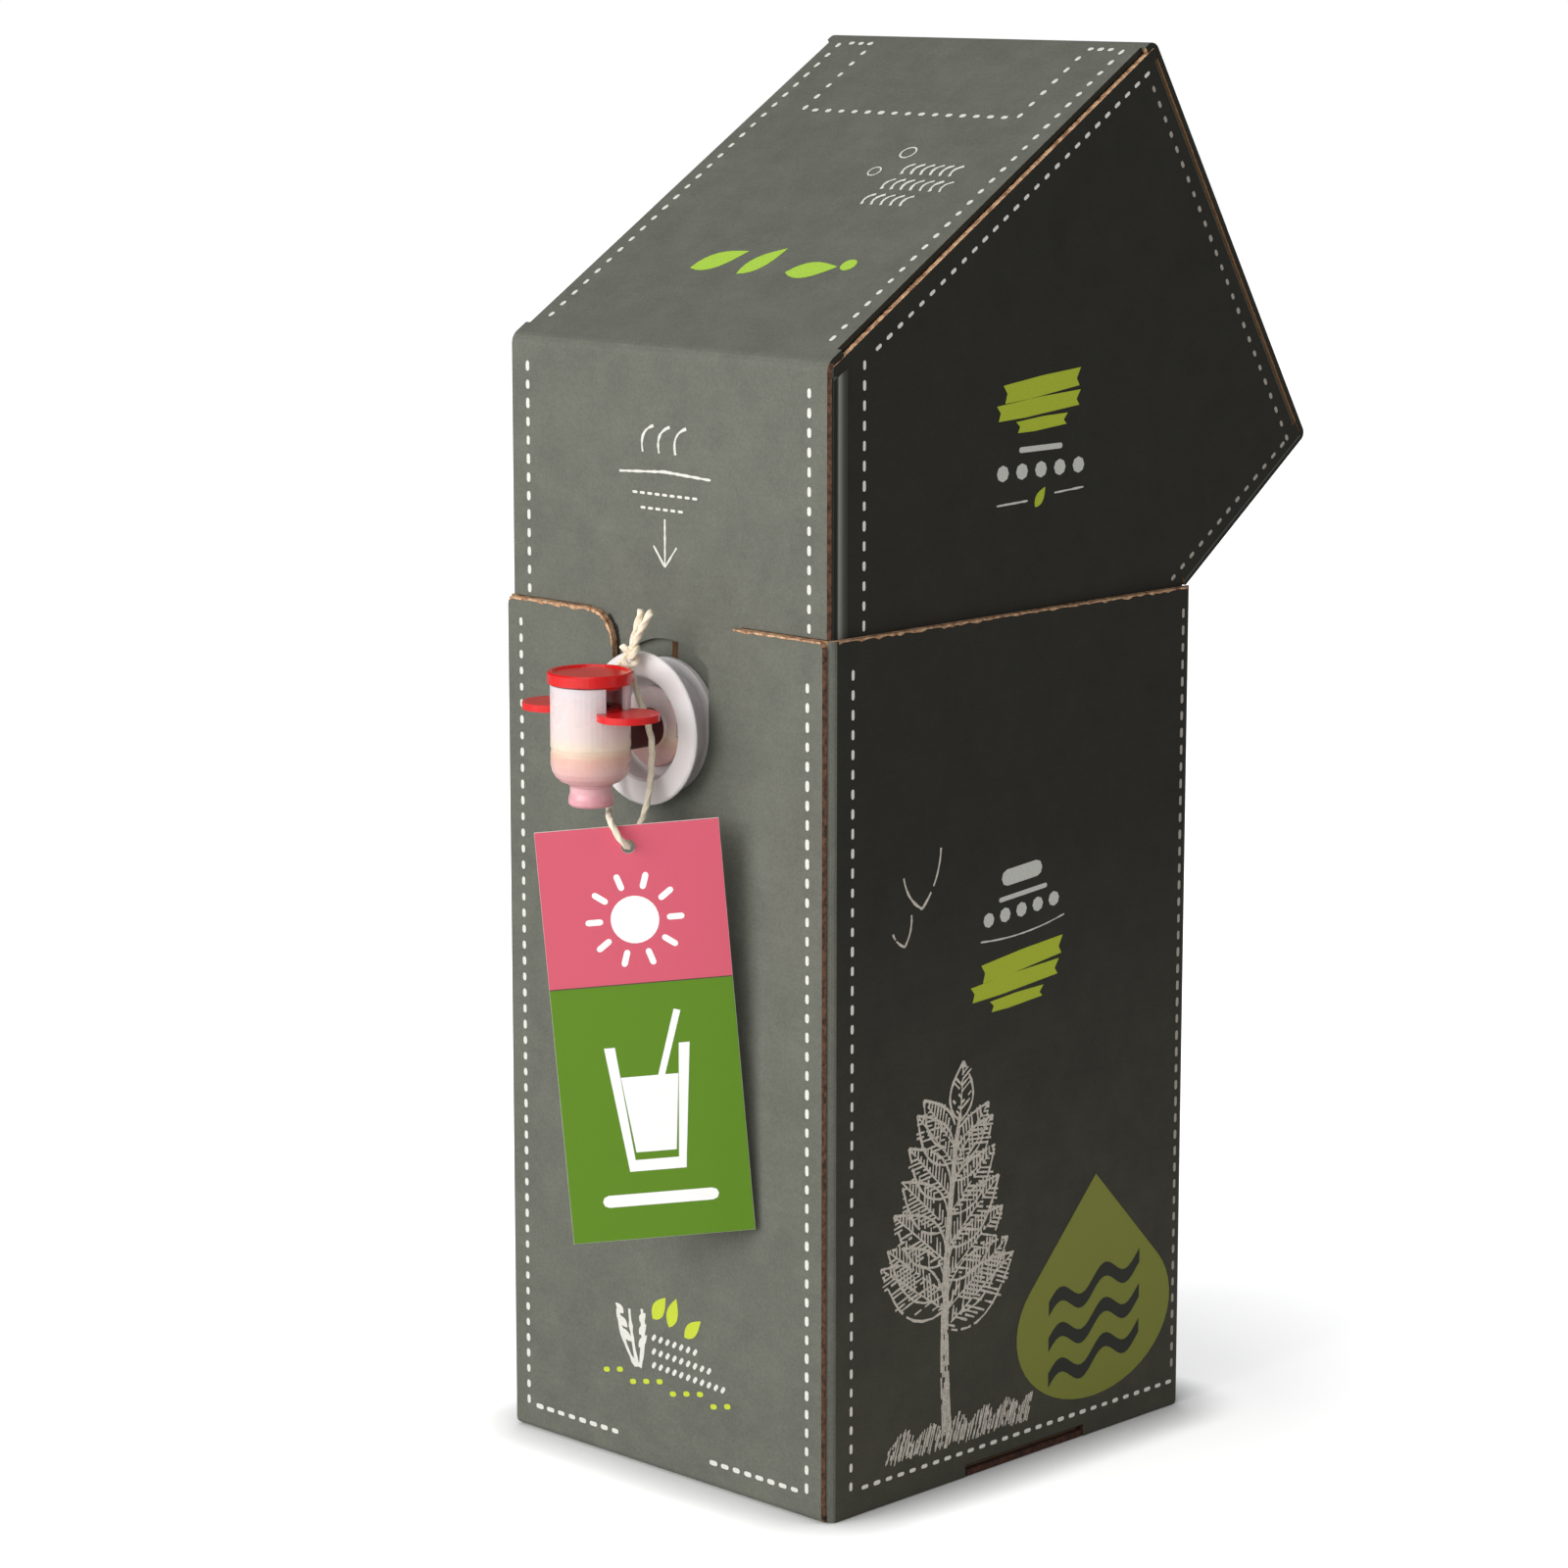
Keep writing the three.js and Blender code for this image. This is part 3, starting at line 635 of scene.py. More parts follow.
def ring(x, y, r, wide):
    """A thin ring of quads."""
    n = 28
    out = []
    for k in range(n):
        a, b = 2 * math.pi * k / n, 2 * math.pi * (k + 1) / n
        out.append([(x + (r - wide) * math.cos(a), y + (r - wide) * math.sin(a)),
                    (x + r * math.cos(a), y + r * math.sin(a)),
                    (x + r * math.cos(b), y + r * math.sin(b)),
                    (x + (r - wide) * math.cos(b), y + (r - wide) * math.sin(b))])
    return out


def drop(x, y, wide, high, stretch):
    """A plain drop: round below, drawn up to a point, stretched sideways."""
    r = wide / 2 / stretch
    tip = (x, y + high)
    centre = (x, y + r)
    lift = high - r
    touch = math.acos(r / lift)
    out = [tip]
    start = math.pi / 2 - touch
    for k in range(33):
        a = start - (2 * math.pi - 2 * touch) * k / 32
        out.append((centre[0] + r * math.cos(a) * stretch, centre[1] + r * math.sin(a)))
    return out


def banner(x, y, wide, high, lean):
    """A slanting bar with torn ends."""
    return [(x, y), (x + wide * 0.33, y + lean * 0.33 - 0.3), (x + wide, y + lean),
            (x + wide - 1.1, y + lean + high * 0.4), (x + wide + 0.5, y + lean + high),
            (x + wide * 0.5, y + lean * 0.5 + high + 0.3), (x - 0.7, y + high),
            (x + 0.8, y + high * 0.55)]


# Prints

def print_seams(white, side_white_painted_light, far_white_painted_shade):
    """Stitched seams round the front, side and roof panels; their white is brighter on the side as
    painted light and darker on the far seams as painted shade.
    """
    lower_front = stitches((-53, 224.5), (-53, 7), 4.4, 2.3, 1.35)
    lower_front += stitches((53, 219), (53, 7), 5.0, 2.7, 1.3)
    lower_front += stitches((-50, 7), (-17.4, 7), 4.5, 2.8, 1.3)
    lower_front += stitches((17.4, 7), (50, 7), 4.5, 2.8, 1.3)
    flat("lower_front_seams", on_stand_front, lower_front, white)
    upper_front = stitches((-51.6, 292.5), (-51.6, 231), 5.0, 2.6, 1.3)
    upper_front += stitches((51.6, 292.5), (51.6, 231), 5.0, 2.6, 1.3)
    flat("upper_front_seams", on_head_front, upper_front, white)
    lower_side = stitches((9, 222), (9, 7), 5.0, 2.6, 1.05)
    lower_side += stitches((13, 7), (138, 7), 4.5, 2.6, 1.15)
    far_seam = stitches((138, 11), (138, 224), 4.7, 2.6, 1.1)
    flat("lower_side_seams", on_stand_side, lower_side, side_white_painted_light, 0.05)
    flat("lower_side_far_seam", on_stand_side, far_seam, far_white_painted_shade)
    upper_side = stitches((15, 299), (15, 231), 5.0, 2.6, 1.05)
    upper_side += stitches((19.1, 301.2), (123, 367.1), 4.65, 2.3, 1.0)
    flat("upper_side_seams", on_head_side, upper_side, side_white_painted_light)
    far_seam = stitches((124.4, 363.5), (184.2, 265.6), 4.65, 1.9, 1.2)
    far_seam += stitches((182.7, 265.2), (135.1, 231.8), 4.65, 2.1, 1.05)
    flat("upper_side_far_seam", on_head_side, far_seam, far_white_painted_shade)
    roof = []
    for s in (-1, 1):
        roof += stitches((s * 51.4, 9), (s * 51.4, 139.5), 5.0, 2.2, 1.4)
        roof += stitches((s * 48, 139.5), (s * 39, 139.5), 4.3, 2.0, 1.5)
        roof += stitches((s * 39, 136), (s * 39, 107), 5.0, 2.2, 1.4)
    roof += stitches((-35.5, 107), (35.5, 107), 4.8, 2.2, 1.5)
    flat("roof_seams", on_roof, roof, white)


def frayed(points, low, high, side=1):
    """Torn liner beside a cut edge: short quads of uneven width along the points."""
    out = []
    width = rng.uniform(low, high)
    for a, b in zip(points, points[1:]):
        n = max(1, int(math.hypot(b[0] - a[0], b[1] - a[1]) / FRAY_STEP))
        d = unit(a, b)
        s = (-d[1] * side, d[0] * side)
        for k in range(n):
            p = (a[0] + (b[0] - a[0]) * k / n, a[1] + (b[1] - a[1]) * k / n)
            q = (a[0] + (b[0] - a[0]) * (k + 1) / n, a[1] + (b[1] - a[1]) * (k + 1) / n)
            ahead = low + (high - low) * rng.random() ** 2
            out.append([p, q, (q[0] + s[0] * ahead, q[1] + s[1] * ahead),
                        (p[0] + s[0] * width, p[1] + s[1] * width)])
            width = ahead
    return out


def print_edges(surface):
    """Raw board that shows beside the cut edges of the lower carton's rim and notch, and a painted
    shadow in the gap beside the notch.
    """
    half, bend = 17.8, 9
    rim = STAND_HIGH - 0.05
    side = frayed([(4, rim), (139.5, rim)], 0.35, 1.0, -1)
    flat("rim_side_fray", on_stand_side, side, surface)
    arc = [(-half - bend + bend * math.sin(a), STAND_HIGH - bend + bend * math.cos(a)) for a in
           [math.radians(6 * k) for k in range(16)]]
    left = frayed([(-57.5, rim)] + arc, 0.5, 1.1, -1)
    right = frayed([(half + bend, rim), (57.5, rim)], 0.35, 0.8, -1)
    flat("rim_front_fray", on_stand_front, left + right, surface)
    # A painted shadow in the gap between the notch's edge and the upper carton
    gap = frayed(arc[6:] + [(-half, 216)], 0.8, 1.5)
    flat("notch_gap", on_head_front, gap, ink("shadow in the gap", "#0B0A09"))


def print_fold():
    """The head's near fold, painted: a painted shadow for the dark gap beside the front panel, then
    painted highlight and shade where the board rolls to the side.
    """
    top, low, slope = 294.5, 229.8, 0.55
    # Painted shadow in the gap, then a painted highlight fading into shade across the fold
    tones = [(4.0, 5.3, "#050404"), (5.3, 5.7, "#56584F"), (5.7, 6.3, "#8F928A"),
             (6.3, 6.9, "#7C7F76"), (6.9, 7.5, "#5E6058"), (7.5, 8.2, "#44453E"),
             (8.2, 9.0, "#34342D")]
    for k, (a, b, code) in enumerate(tones):
        inner, outer = [top + (v - SHOULDER[0]) * slope for v in (a, b)]
        band = [[(a, low), (b, low), (b, outer), (a, inner)]]
        flat("near_fold_%d" % k, on_head_side, band, ink("near fold tone %d" % k, code, 0.05))


def print_front(white, lime):
    """Front panels: press marks above the tap; a sprig, leaves and rows of bars below."""
    print_press_marks(white)
    print_sprig(white)
    leaves = [leaf_outline(-4, 41.5, 8.5, 4.4, 0.95), leaf_outline(2.2, 40.5, 9, 4.2, 1.25),
              leaf_outline(8, 39, 8.5, 3.8, 0.75)]
    trail = [dash(-21.9 + 5.1 * k, 23.6 + 1.3 * math.sin(k * 2.1), (0.97, 0.24), 2.5, 1.4)
             for k in range(10)]
    flat("green_leaves", on_stand_front, leaves + trail, lime)
    rows = []
    for v, count in ((36.4, 7), (32.6, 9), (28.8, 11)):
        rows += [dash(-3.6 + 2.6 * k, v - 0.1 * k, (0.6, 0.8), 2.2, 1.1) for k in range(count)]
    flat("small_rows", on_stand_front, rows, white)


def print_press_marks(white):
    """Chalk signs above the tap: a bar, an arrow, drops and two rows of short bars."""
    marks = chalk([(-16.8, 266.4), (0, 267.4), (16.8, 266.6)], 0.75, 0.0)
    marks += chalk([(0, 255.2), (0, 243)], 0.7, 0.0)
    marks += chalk([(-4.2, 248), (0, 242.8), (4.3, 248.2)], 0.75, 0.0)
    for k in range(3):
        marks += chalk(curve((-8 + 6 * k, 272), (-4 + 6 * k, 279), 0.25), 0.9, 0.0)
    for v, half in ((261.4, 11), (257.6, 8)):
        marks += [dash(u, v, (1, 0), 1.9, 0.7) for u in
                  [-half + 2.75 * k for k in range(int(2 * half / 2.75) + 1)]]
    flat("press_marks", on_head_front, marks, white)


def print_sprig(white):
    """Three thin stalks with small leaves."""
    sprig = []
    for foot, tip, bow in ((-10.5, -17.5, 0.08), (-9.8, -13, 0.03), (-9, -8.2, -0.05)):
        sprig += chalk(curve((foot, 27), (tip, 45 + 0.2 * tip), bow), 1.5, 0.0)
    for k in range(3):
        sprig += [leaf_outline(-12.2 - 1.5 * k, 33.5 + 3.6 * k, 5.5 - 0.8 * k, 2.2, 2.5)]
        sprig += [leaf_outline(-9.4 + 0.2 * k, 32.5 + 3.6 * k, 5.2 - 0.8 * k, 2.2, 0.9)]
    flat("small_sprig", on_stand_front, sprig, white)


def print_roof(white, lime):
    """Roof panel: a row of leaves, and small chalk marks."""
    leaves = [leaf_outline(-20, 34, 17, 7.5, 0.55), leaf_outline(-2, 33, 15, 6.5, 0.95),
              leaf_outline(14, 35, 16, 7, 0.25), circle(32.5, 40, 2.4)]
    flat("roof_leaves", on_roof, leaves, lime)
    marks = []
    for k, long in enumerate((22, 26, 18)):
        row = 80 - 7 * k
        for j in range(int(long / 3.4)):
            u = 19 - 1.5 * k + 3.4 * j
            marks += chalk(curve((u, row), (u + 1.6, row + 4.6), 0.3, 4), 1.0, 0)
    marks += ring(14, 89.5, 2.6, 0.5) + ring(9, 80.5, 2.1, 0.45)
    flat("roof_marks", on_roof, marks, white)


def print_upper_side(white, lime):
    """Upper side panel: a ribbon, bars and a leaf."""
    ribbon = [banner(67.5, 284.2, 29, 4.7, 2.8), banner(65, 279.7, 31.5, 4.0, 2.2),
              banner(72.5, 276.3, 19, 2.9, 1.0)]
    flat("upper_ribbon", on_head_side, ribbon, lime)
    marks = [dash(81.5, 271.8, (1, 0), 17, 1.5)]
    marks += [dash(66.8 + 7.4 * k, 266.2, (1, 0), 4.6, 4.2) for k in range(5)]
    marks += chalk([(64.5, 258), (76.5, 258.4)], 0.6, 0.0)
    marks += chalk([(87, 259.6), (98.5, 260.2)], 0.6, 0.0)
    flat("upper_side_marks", on_head_side, marks, white)
    flat("upper_side_leaf", on_head_side, [leaf_outline(79.4, 256.5, 6.4, 3.0, 0.9)], lime)


def print_lower_side(white, lime, chalk_white):
    """Lower side panel: a ribbon, bars and chalk ticks."""
    ribbon = [banner(58.5, 133.4, 31, 4.9, 3.4), banner(54.5, 128.8, 33.5, 4.1, 2.6),
              banner(62, 125.2, 20, 2.9, 1.2)]
    flat("lower_ribbon", on_stand_side, ribbon, lime)
    bars = [dash(73.5, 160.8, (0.995, 0.08), 16, 4.4)]
    bars += [dash(60.6 + 6.4 * k, 150.0 + 0.5 * k, (0.997, 0.08), 4.2, 3.9) for k in range(5)]
    bars += [dash(74, 155.4, (0.997, 0.08), 19, 1.3)]
    bars += chalk(curve((57.5, 144.6), (90.5, 147.2), -0.04), 0.5, 0.0)
    flat("lower_side_marks", on_stand_side, bars, white)
    ticks = []
    for a, b, bow, wide in (((28, 166), (35, 157), -0.12, 0.8), ((35, 157), (42, 172), -0.1, 0.8),
                            ((24, 152), (28.5, 148), -0.1, 0.7),
                            ((28.5, 148), (31, 156), -0.1, 0.7)):
        ticks += chalk(curve(a, b, bow), wide, 0.05)
    flat("chalk_ticks", on_stand_side, ticks, chalk_white)


def print_plant(chalk_white):
    """Chalk plant: a stem of strokes, pairs of hatched leaves and grass at its foot."""
    plant = []
    stem = curve((46, 12), (50, 100), 0.035, 20)
    for off in (-1.9, -1.2, -0.5, 0.2, 0.9, 1.6):
        plant += chalk([(u + off * (1 - v / 130), v) for u, v in stem], 0.6, 0.06)
    for k in range(7):
        base = stem[7 + int(k * 1.8)]
        long = 31 - 1.9 * k
        plant += hatched_leaf(base[0], base[1], long, 14.5 - 0.8 * k, 0.52 + 0.05 * k)
        plant += hatched_leaf(base[0], base[1] + 5, long * 0.95, 14 - 0.8 * k,
                              math.pi - 0.58 - 0.05 * k)
    plant += hatched_leaf(stem[-1][0], stem[-1][1] - 2, 16, 9, 1.5)
    for k in range(90):
        u = 22 + 0.62 * k + rng.uniform(-0.3, 0.3)
        tall = 3.5 + 4.5 * abs(math.sin(k * 0.19)) * rng.uniform(0.6, 1.0)
        plant += chalk([(u, 10.5 + rng.uniform(-0.8, 0.8)), (u + 0.35 * tall, 11 + tall)],
                       0.55, 0.1)
    flat("chalk_plant", on_stand_side, plant, chalk_white)


def print_drop(olive, dark):
    """A plain drop with three rows of waves."""
    flat("drop_field", on_stand_side, [drop(104.8, 10.6, 63.5, 62.5, 1.42)], olive, 0.02)
    waves = []
    for v in (21, 31, 41):
        crest = [(86 + 1.5 * k, v + 0.17 * 1.5 * k + 2.6 * math.sin(k * 0.52)) for k in range(26)]
        waves += [[crest[k], (crest[k][0], crest[k][1] - 4), (crest[k + 1][0], crest[k + 1][1] - 4),
                   crest[k + 1]] for k in range(25)]
    flat("drop_waves", on_stand_side, waves, dark, 0.04)


def print_tag(pink, green, white, dark):
    """Tag: a pink field with a sun above a green field with a glass."""
    half = 23.44
    top, split, low = 5.45, -35.7, -102.95
    hole = circle(0, 0, TAG_HOLE_RADIUS)
    left = [(0, top), (-half, top), (-half, split), (0, split)]
    left += [hole[k] for k in range(18, 5, -1)]
    right = [(0, split), (half, split), (half, top), (0, top)]
    right += [hole[k] for k in range(6, -1, -1)] + [hole[k] for k in range(23, 17, -1)]
    flat("tag_pink", on_tag(0.04), [left, right], pink)
    flat("tag_green", on_tag(0.04), [[(-half, low), (half, low), (half, split), (-half, split)]],
         green)
    flat("tag_line", on_tag(0.05), [[(-half, split - 0.15), (half, split - 0.15),
                                     (half, split + 0.15), (-half, split + 0.15)]], dark)
    marks = [circle(0, -19, 6.2, 28)]
    for k in range(10):
        a = 2 * math.pi * k / 10
        d = (math.cos(a), math.sin(a))
        marks.append(dash(10.4 * d[0], -19 + 10.4 * d[1], d, 4.6, 1.6))
    glass = [[(-11, -52), (-8.2, -52), (-5.6, -82), (-7.6, -82)],
             [(11, -52), (8.2, -52), (5.6, -82), (7.6, -82)],
             [(-7.6, -82), (7.6, -82), (7.3, -85), (-7.3, -85)],
             [(-7.4, -60), (7.4, -60), (5.2, -80), (-5.2, -80)],
             [(2.2, -60), (4.0, -60), (9.4, -43.5), (7.7, -43)]]
    bars = [dash(0, -92.5, (1, 0), 30, 3.2)]
    flat("tag_marks", on_tag(0.07), marks + glass + bars, white)


# Rope: three twisted strands in one skin

def smooth_line(points, step):
    """Even points along a centripetal curve through the given ones."""
    ends = [points[0] * 2 - points[1]] + points + [points[-1] * 2 - points[-2]]
    fine = []
    for i in range(1, len(ends) - 2):
        p = ends[i - 1:i + 3]
        t = [0.0]
        for a, b in zip(p, p[1:]):
            t.append(t[-1] + max(1e-6, (b - a).length) ** 0.5)
        for k in range(CURVE_STEPS):
            s = t[1] + (t[2] - t[1]) * k / CURVE_STEPS
            a1 = p[0].lerp(p[1], (s - t[0]) / (t[1] - t[0]))
            a2 = p[1].lerp(p[2], (s - t[1]) / (t[2] - t[1]))
            a3 = p[2].lerp(p[3], (s - t[2]) / (t[3] - t[2]))
            b1 = a1.lerp(a2, (s - t[0]) / (t[2] - t[0]))
            b2 = a2.lerp(a3, (s - t[1]) / (t[3] - t[1]))
            fine.append(b1.lerp(b2, (s - t[1]) / (t[2] - t[1])))
    fine.append(points[-1].copy())
    out = [fine[0]]
    left = step
    for a, b in zip(fine, fine[1:]):
        gap = (b - a).length
        while gap >= left > 0:
            a = a.lerp(b, left / gap)
            out.append(a)
            gap = (b - a).length
            left = step
        left -= gap
    out.append(fine[-1])
    return out


def rope(name, points, surface, wide=CORD_WIDE):
    """Twisted cord along the points; gives the object, its centreline and its length."""
    line = smooth_line([Vector(p) for p in points], ROPE_STEP)
    side = Vector((0, 0, 1)).cross(line[1] - line[0])
    if side.length < 1e-6:
        side = Vector((1, 0, 0))
    sides = ROPE_SIDES
    verts = []
    faces = []
    run = 0.0
    for i, p in enumerate(line):
        ahead = (line[min(i + 1, len(line) - 1)] - line[max(i - 1, 0)]).normalized()
        side = (side - ahead * side.dot(ahead)).normalized()
        over = ahead.cross(side)
        run += (p - line[i - 1]).length if i else 0.0
        for k in range(sides):
            a = 2 * math.pi * k / sides
            turned = 3 * (a - 2 * math.pi * run / (3 * STRAND_PITCH))
            r = wide / 2 * (0.875 + 0.125 * math.cos(turned))
            verts.append((p + side * (r * math.cos(a)) + over * (r * math.sin(a))) * MM)
    for i in range(len(line) - 1):
        for k in range(sides):
            a, b = i * sides + k, i * sides + (k + 1) % sides
            faces.append((a, b, b + sides, a + sides))
    faces.append(tuple(reversed(range(sides))))
    last = (len(line) - 1) * sides
    faces.append(tuple(range(last, last + sides)))
    mesh = bpy.data.meshes.new(name)
    mesh.from_pydata(verts, [], faces)
    mesh.materials.append(surface)
    obj = link(bpy.data.objects.new(name, mesh))
    mesh.shade_smooth()
    length = sum((b - a).length for a, b in zip(line, line[1:]))
    return obj, [list(p * MM) for p in line[::4]] + [list(line[-1] * MM)], length * MM


def tag_rope(surface):
    """Cord from the knot down, through the tag's hole and back up to the knot."""
    bend = 3.3
    up = Vector((0, 0, 1))
    front = up * 0.8 - TAG_ACROSS * 0.6
    behind = up * 0.85 + TAG_ACROSS * 0.5
    loop = []
    for k in range(7):
        a = math.radians(-30 * k)
        lean = front if k < 3 else behind
        loop.append(TAG_HOLE + TAG_OUT * (bend * math.cos(a)) + lean * (bend * (1 + math.sin(a))))
    down = [(-3.2, -10.5, 219.4), (-5.8, -10.5, 215.6), (-7.6, -10.5, 210), (-8.0, -10.5, 203),
            (-8.3, -10.7, 192), (-7.4, -12.0, 185.4), (-2.1, -16.4, 181.4), (5.0, -23.2, 182.0),
            (10.0, -27.3, 181.7), (12.4, -28.5, 180.4)]
    rise = [(11.0, -18.2, 179.4), (9.6, -15.2, 181.8), (8.9, -13.2, 185.4), (8.0, -11.4, 189.4),
            (7.7, -10.6, 194.9), (7.7, -10.5, 199.3), (6.6, -10.5, 203.4), (4.8, -10.5, 207.2),
            (2.8, -10.5, 211.1), (1.2, -10.5, 214.6), (0.4, -10.5, 217.6)]

    def in_frame(points):
        return [Vector((x, y + FRONT, z)) for x, y, z in points]
    obj, path, length = rope("cotton_cord", in_frame(down) + loop + in_frame(rise), surface)
    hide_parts("tag_cord")
    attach(obj, "box")


def knot_rope(surface):
    """Knot in front of the flange, with its two tails."""
    lump = []
    for k in range(25):
        t = 2 * math.pi * k / 24 + 0.4
        p = Vector((math.sin(t) + 1.75 * math.sin(2 * t), -1.1 * math.sin(3 * t),
                    math.cos(t) - 1.75 * math.cos(2 * t)))
        lump.append(KNOT + p * KNOT_SIZE)
    tails = [
        [(0, 0, 0), (1.4, 0, 4.2), (2.8, 0, 8.1), (4.2, 0, 11.9)],
        [(0, 0, 0), (2.4, 0.2, 4.5), (4.9, 0.2, 8.3), (7.6, 0.2, 11.9)]]
    joined, _, _ = rope("cord_knot_wraps", lump, surface)
    parts = [joined]
    for i, tail in enumerate(tails):
        made, _, _ = rope("cord_tail_%d" % i, [KNOT + Vector(p) for p in tail], surface,
                          TAIL_WIDE)
        parts.append(made)
    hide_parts("cord_knot")
    for part in parts:
        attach(part, "box")


# Stage, lights and camera

def stage():
    """Pale floor: evenly lit for the camera, with a soft shade at the pack's foot."""
    made, tree, out = new_material("pale sweep")
    path = add(tree, "ShaderNodeLightPath")
    grain = noise(tree, 0.01)
    tone = ramp(tree, grain, 0.0, 1.0, (0.80, 0.80, 0.80, 1), (0.82, 0.82, 0.82, 1))
    dull = add(tree, "ShaderNodeBsdfDiffuse", Color=tone)
    dim = add(tree, "ShaderNodeBsdfDiffuse", Color=(0.8, 0.79, 0.77, 1))
    coords = add(tree, "ShaderNodeTexCoord")
    away = add(tree, "ShaderNodeVectorMath", {"operation": "LENGTH"}, i0=coords.outputs["Object"])
    far = add(tree, "ShaderNodeMapRange", Value=away.outputs["Value"], i1=0.12, i2=0.4,
              i3=0.66, i4=1.1)
    foot = add(tree, "ShaderNodeAmbientOcclusion", {"samples": 8}, Distance=0.02)
    close = add(tree, "ShaderNodeMath", {"operation": "POWER"}, i0=foot.outputs["AO"], i1=3.6)
    light = add(tree, "ShaderNodeMath", {"operation": "MULTIPLY"}, i0=close.outputs[0],
                i1=far.outputs[0])
    glow = add(tree, "ShaderNodeEmission", Color=(1, 1, 1, 1), Strength=light.outputs[0])
    seen = add(tree, "ShaderNodeAddShader", i0=dull.outputs[0], i1=glow.outputs[0])
    mixed = add(tree, "ShaderNodeMixShader", Fac=path.outputs["Is Camera Ray"],
                i1=dim.outputs[0], i2=seen.outputs[0])
    tree.links.new(mixed.outputs[0], out.inputs[0])
    bpy.ops.mesh.primitive_plane_add(size=8, location=(0, 0, -0.0002))
    floor = bpy.context.object
    floor.name = "floor"
    floor.data.materials.append(made)


def world():
    """White room: white to the camera, with little light of its own."""
    made = bpy.data.worlds.new("white room")
    bpy.context.scene.world = made
    made.use_nodes = True
    tree = made.node_tree
    tree.nodes.clear()
    path = add(tree, "ShaderNodeLightPath")
    room = add(tree, "ShaderNodeBackground", Color=(0.92, 0.96, 1.0, 1), Strength=0.10)
    seen = add(tree, "ShaderNodeBackground", Color=(1, 1, 1, 1), Strength=1.0)
    mixed = add(tree, "ShaderNodeMixShader", Fac=path.outputs["Is Camera Ray"],
                i1=room.outputs[0], i2=seen.outputs[0])
    out = add(tree, "ShaderNodeOutputWorld")
    tree.links.new(mixed.outputs[0], out.inputs[0])


def area(name, place, size, power, colour=(1, 1, 1)):
    """A soft rectangular light aimed at the pack."""
    data = bpy.data.lights.new(name, "AREA")
    data.shape = "RECTANGLE"
    data.size, data.size_y = size
    data.energy = power
    data.color = colour
    obj = link(bpy.data.objects.new(name, data))
    obj.location = place
    aim = Vector((0, 0, 0.2)) - obj.location
    obj.rotation_euler = aim.to_track_quat("-Z", "Y").to_euler()


def lights():
    """Key light in front, with fill, rim and top lights."""
    area("key", (-0.4, -1.7, 0.8), (1.5, 1.3), 35, (1.0, 0.99, 0.97))
    area("fill", (0.75, -1.6, 0.5), (0.8, 0.8), 7, (1.0, 0.99, 0.97))
    area("rim", (1.5, 0.6, 0.7), (0.6, 0.9), 5.0)
    area("top", (-0.3, -0.1, 1.8), (0.8, 0.8), 7)


def camera():
    """The photograph's view."""
    data = bpy.data.cameras.new("view")
    data.lens = VIEW_LENS
    data.sensor_width = 36
    obj = link(bpy.data.objects.new("view", data))
    obj.location = VIEW_PLACE
    obj.rotation_euler = (math.radians(90 - VIEW_DOWN), 0, math.radians(VIEW_TURN))
    bpy.context.scene.camera = obj
    bpy.context.scene.view_settings.view_transform = "Standard"


def board_surfaces():
    """The boards' surfaces, in the order of their slots; the side board and the last two edges are
    darker copies as painted shade.
    """
    return [board_print("printed flute board", "#5A5C54", "#66685F"),
            board_edge("cut kraft edge", "#83583C", "#DDB48C"), board_inside(),
            # The side board: the printed board darkened as painted shade, lighter at its foot as
            # painted bounce light
            board_print("side board darkened as painted shade, lighter at its foot", "#25241E", "#2C2B24", 0.35, 3.3),
            # Darker copies of the cut edge, painted shade: in the corners, then by the floor
            board_edge("cut kraft edge darkened as painted corner shade", "#4A3124", "#8A624C"),
            # By the floor: the darkest copy, painted shade
            board_edge("cut kraft edge in painted shade by the floor", "#2A130B", "#54301F")]


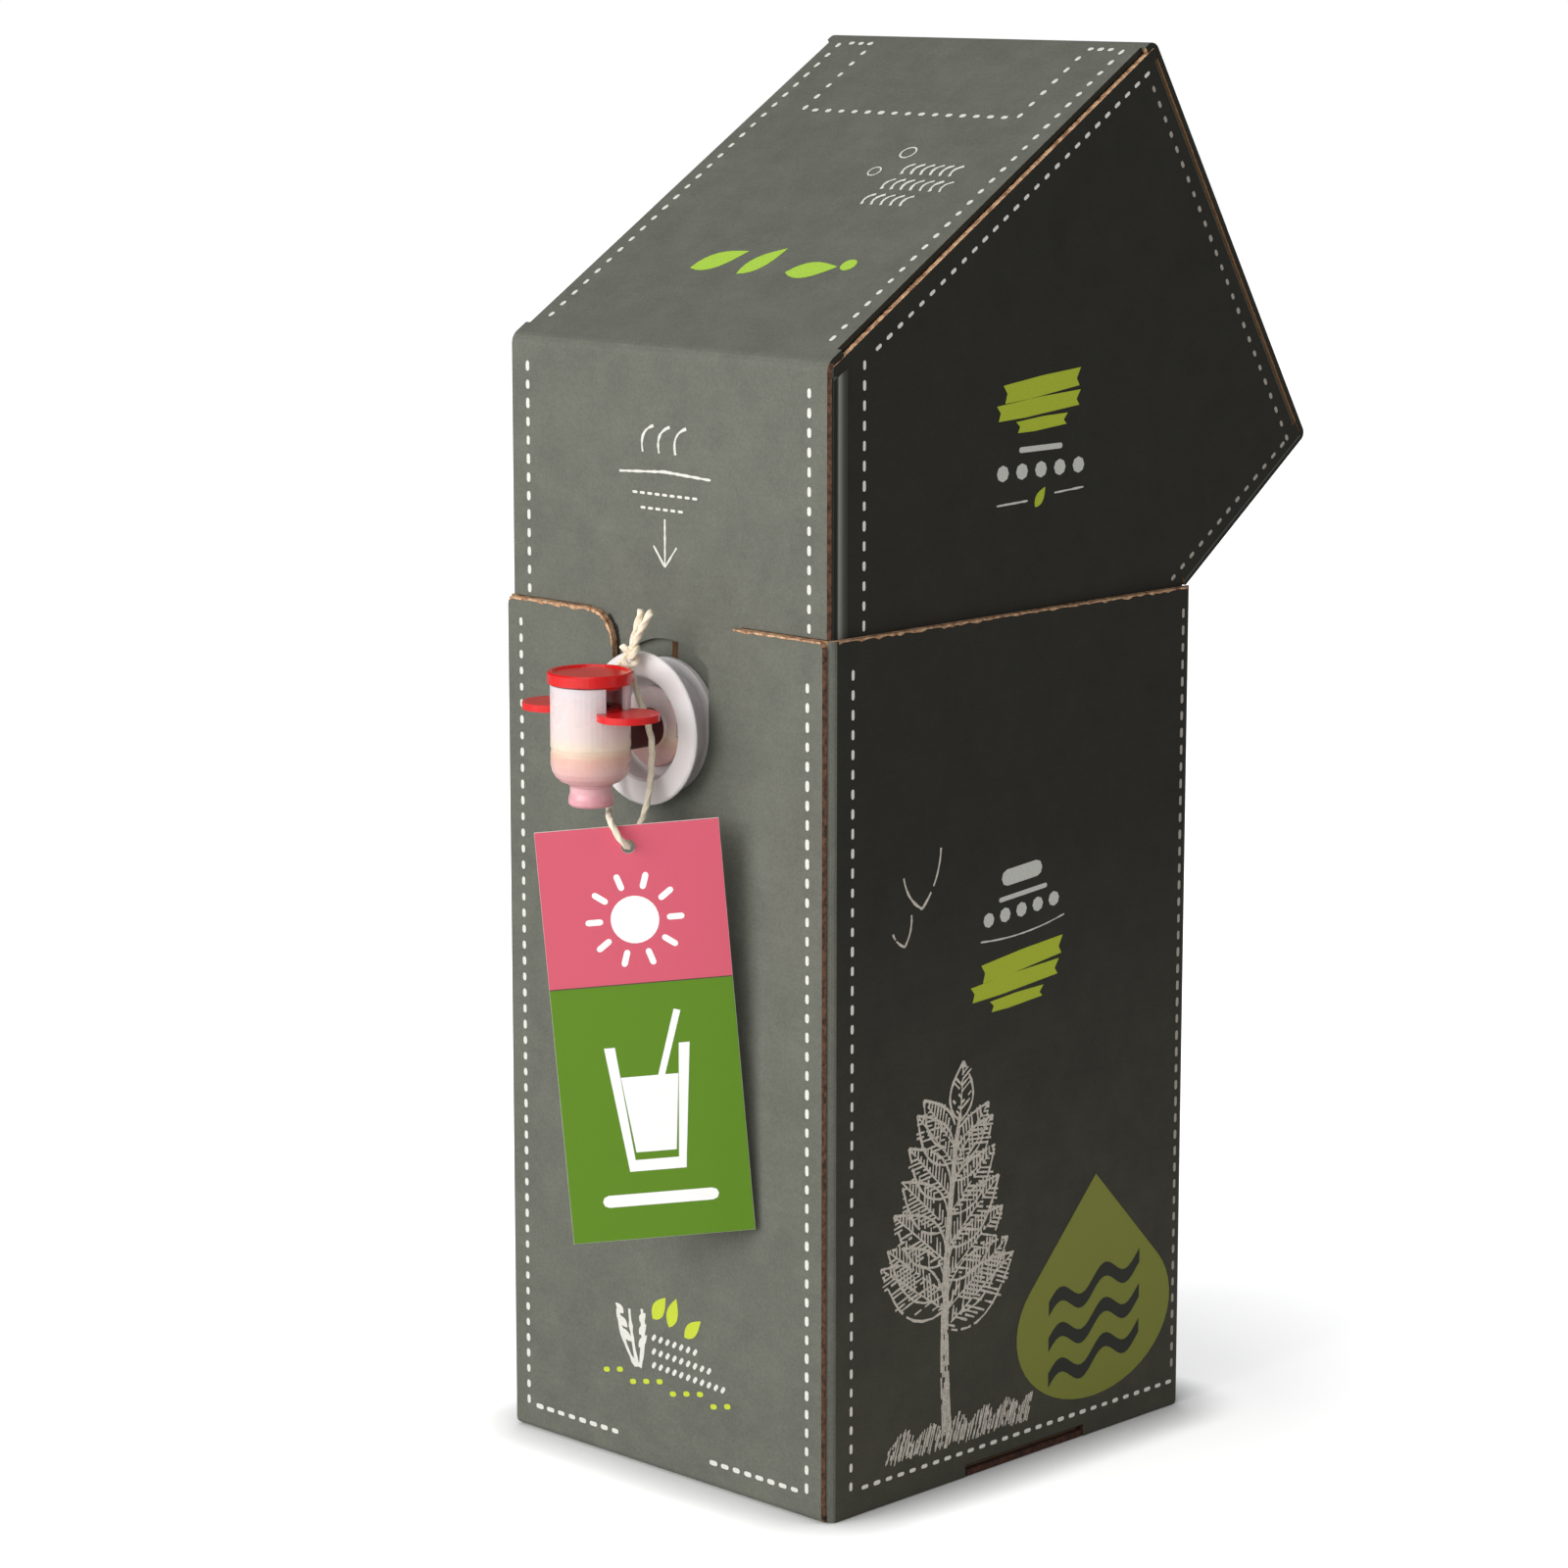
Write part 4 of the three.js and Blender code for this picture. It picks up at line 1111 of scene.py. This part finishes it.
def paint_pack(surfaces):
    """Gives every piece of the pack its surface."""
    paint_board(NODES["lower_carton"], stand_face, surfaces)
    paint_board(NODES["upper_carton"], head_face, surfaces)
    white_plastic = plastic("white fitting plastic", "#E1DDDE", 0.35, 0.25)
    # Dark syrup red, deepened as painted shade for the recesses inside the tap
    syrup_red_and_shade = plastic("syrup behind the tap wall, deepened as painted shade", "#48090C", 0.6)
    red = plastic("red tap plastic", "#D20F14", 0.25, 0.15, (1.0, 0.2, 0.1))
    paint(NODES["syrup_bag"], bag_film())
    paint(NODES["gland"], white_plastic)
    paint_tap(NODES["tap_body"], cloudy_tap(), syrup_red_and_shade)
    paint(NODES["tap_cap"], red)
    paint(NODES["finger_wings"], red)
    paint(NODES["valve_seal"], rubber())
    paint(NODES["tap_o_ring"], rubber())
    paint(NODES["return_spring"], steel())
    shorten_spring(NODES["return_spring"])
    paint(NODES["hang_tag"], ink("tag card", "#E9E4DC", 0.06), False)


def print_pack(surfaces):
    """Lays all prints on the panels and the tag."""
    white = ink("white seam ink", "#D9D9D2", 0.18)
    chalk_white = ink("chalk ink", "#E6DDD0", 0.45)
    lime = ink("lime ink", "#A2C83C", 0.15)
    yellow_lime = ink("yellow lime ink", "#BAC92E", 0.12)
    olive = ink("olive ink", "#888C36", 0.05)
    dark = ink("dark ink", "#2A2A24", 0.1)
    # Seam white: a brighter copy on the side, painted light; a darker copy on the far seams,
    # painted shade
    print_seams(white, ink("side seam ink brightened as painted light", "#F4F1EA", 0.1), ink("far seam ink darkened as painted shade", "#B3AEA2", 0.2))
    print_edges(surfaces[1])
    # The near fold is painted shadow and highlight, laid like print
    print_fold()
    print_front(white, yellow_lime)
    print_roof(white, lime)
    print_upper_side(white, yellow_lime)
    print_lower_side(white, yellow_lime, chalk_white)
    print_plant(chalk_white)
    print_drop(olive, dark)
    print_tag(ink("pink ink", "#D75A70", 0.03), ink("leaf green ink", "#5A8600", 0.03),
              ink("tag white", "#FFFFFF", 0.02), ink("tag shade", "#4A4034"))


def main():
    """Stage and view first, then the pack's surfaces, prints and cord."""
    camera()
    world()
    lights()
    stage()
    surfaces = board_surfaces()
    thread = cotton()
    paint_pack(surfaces)
    print_pack(surfaces)
    tag_rope(thread)
    knot_rope(thread)


main()
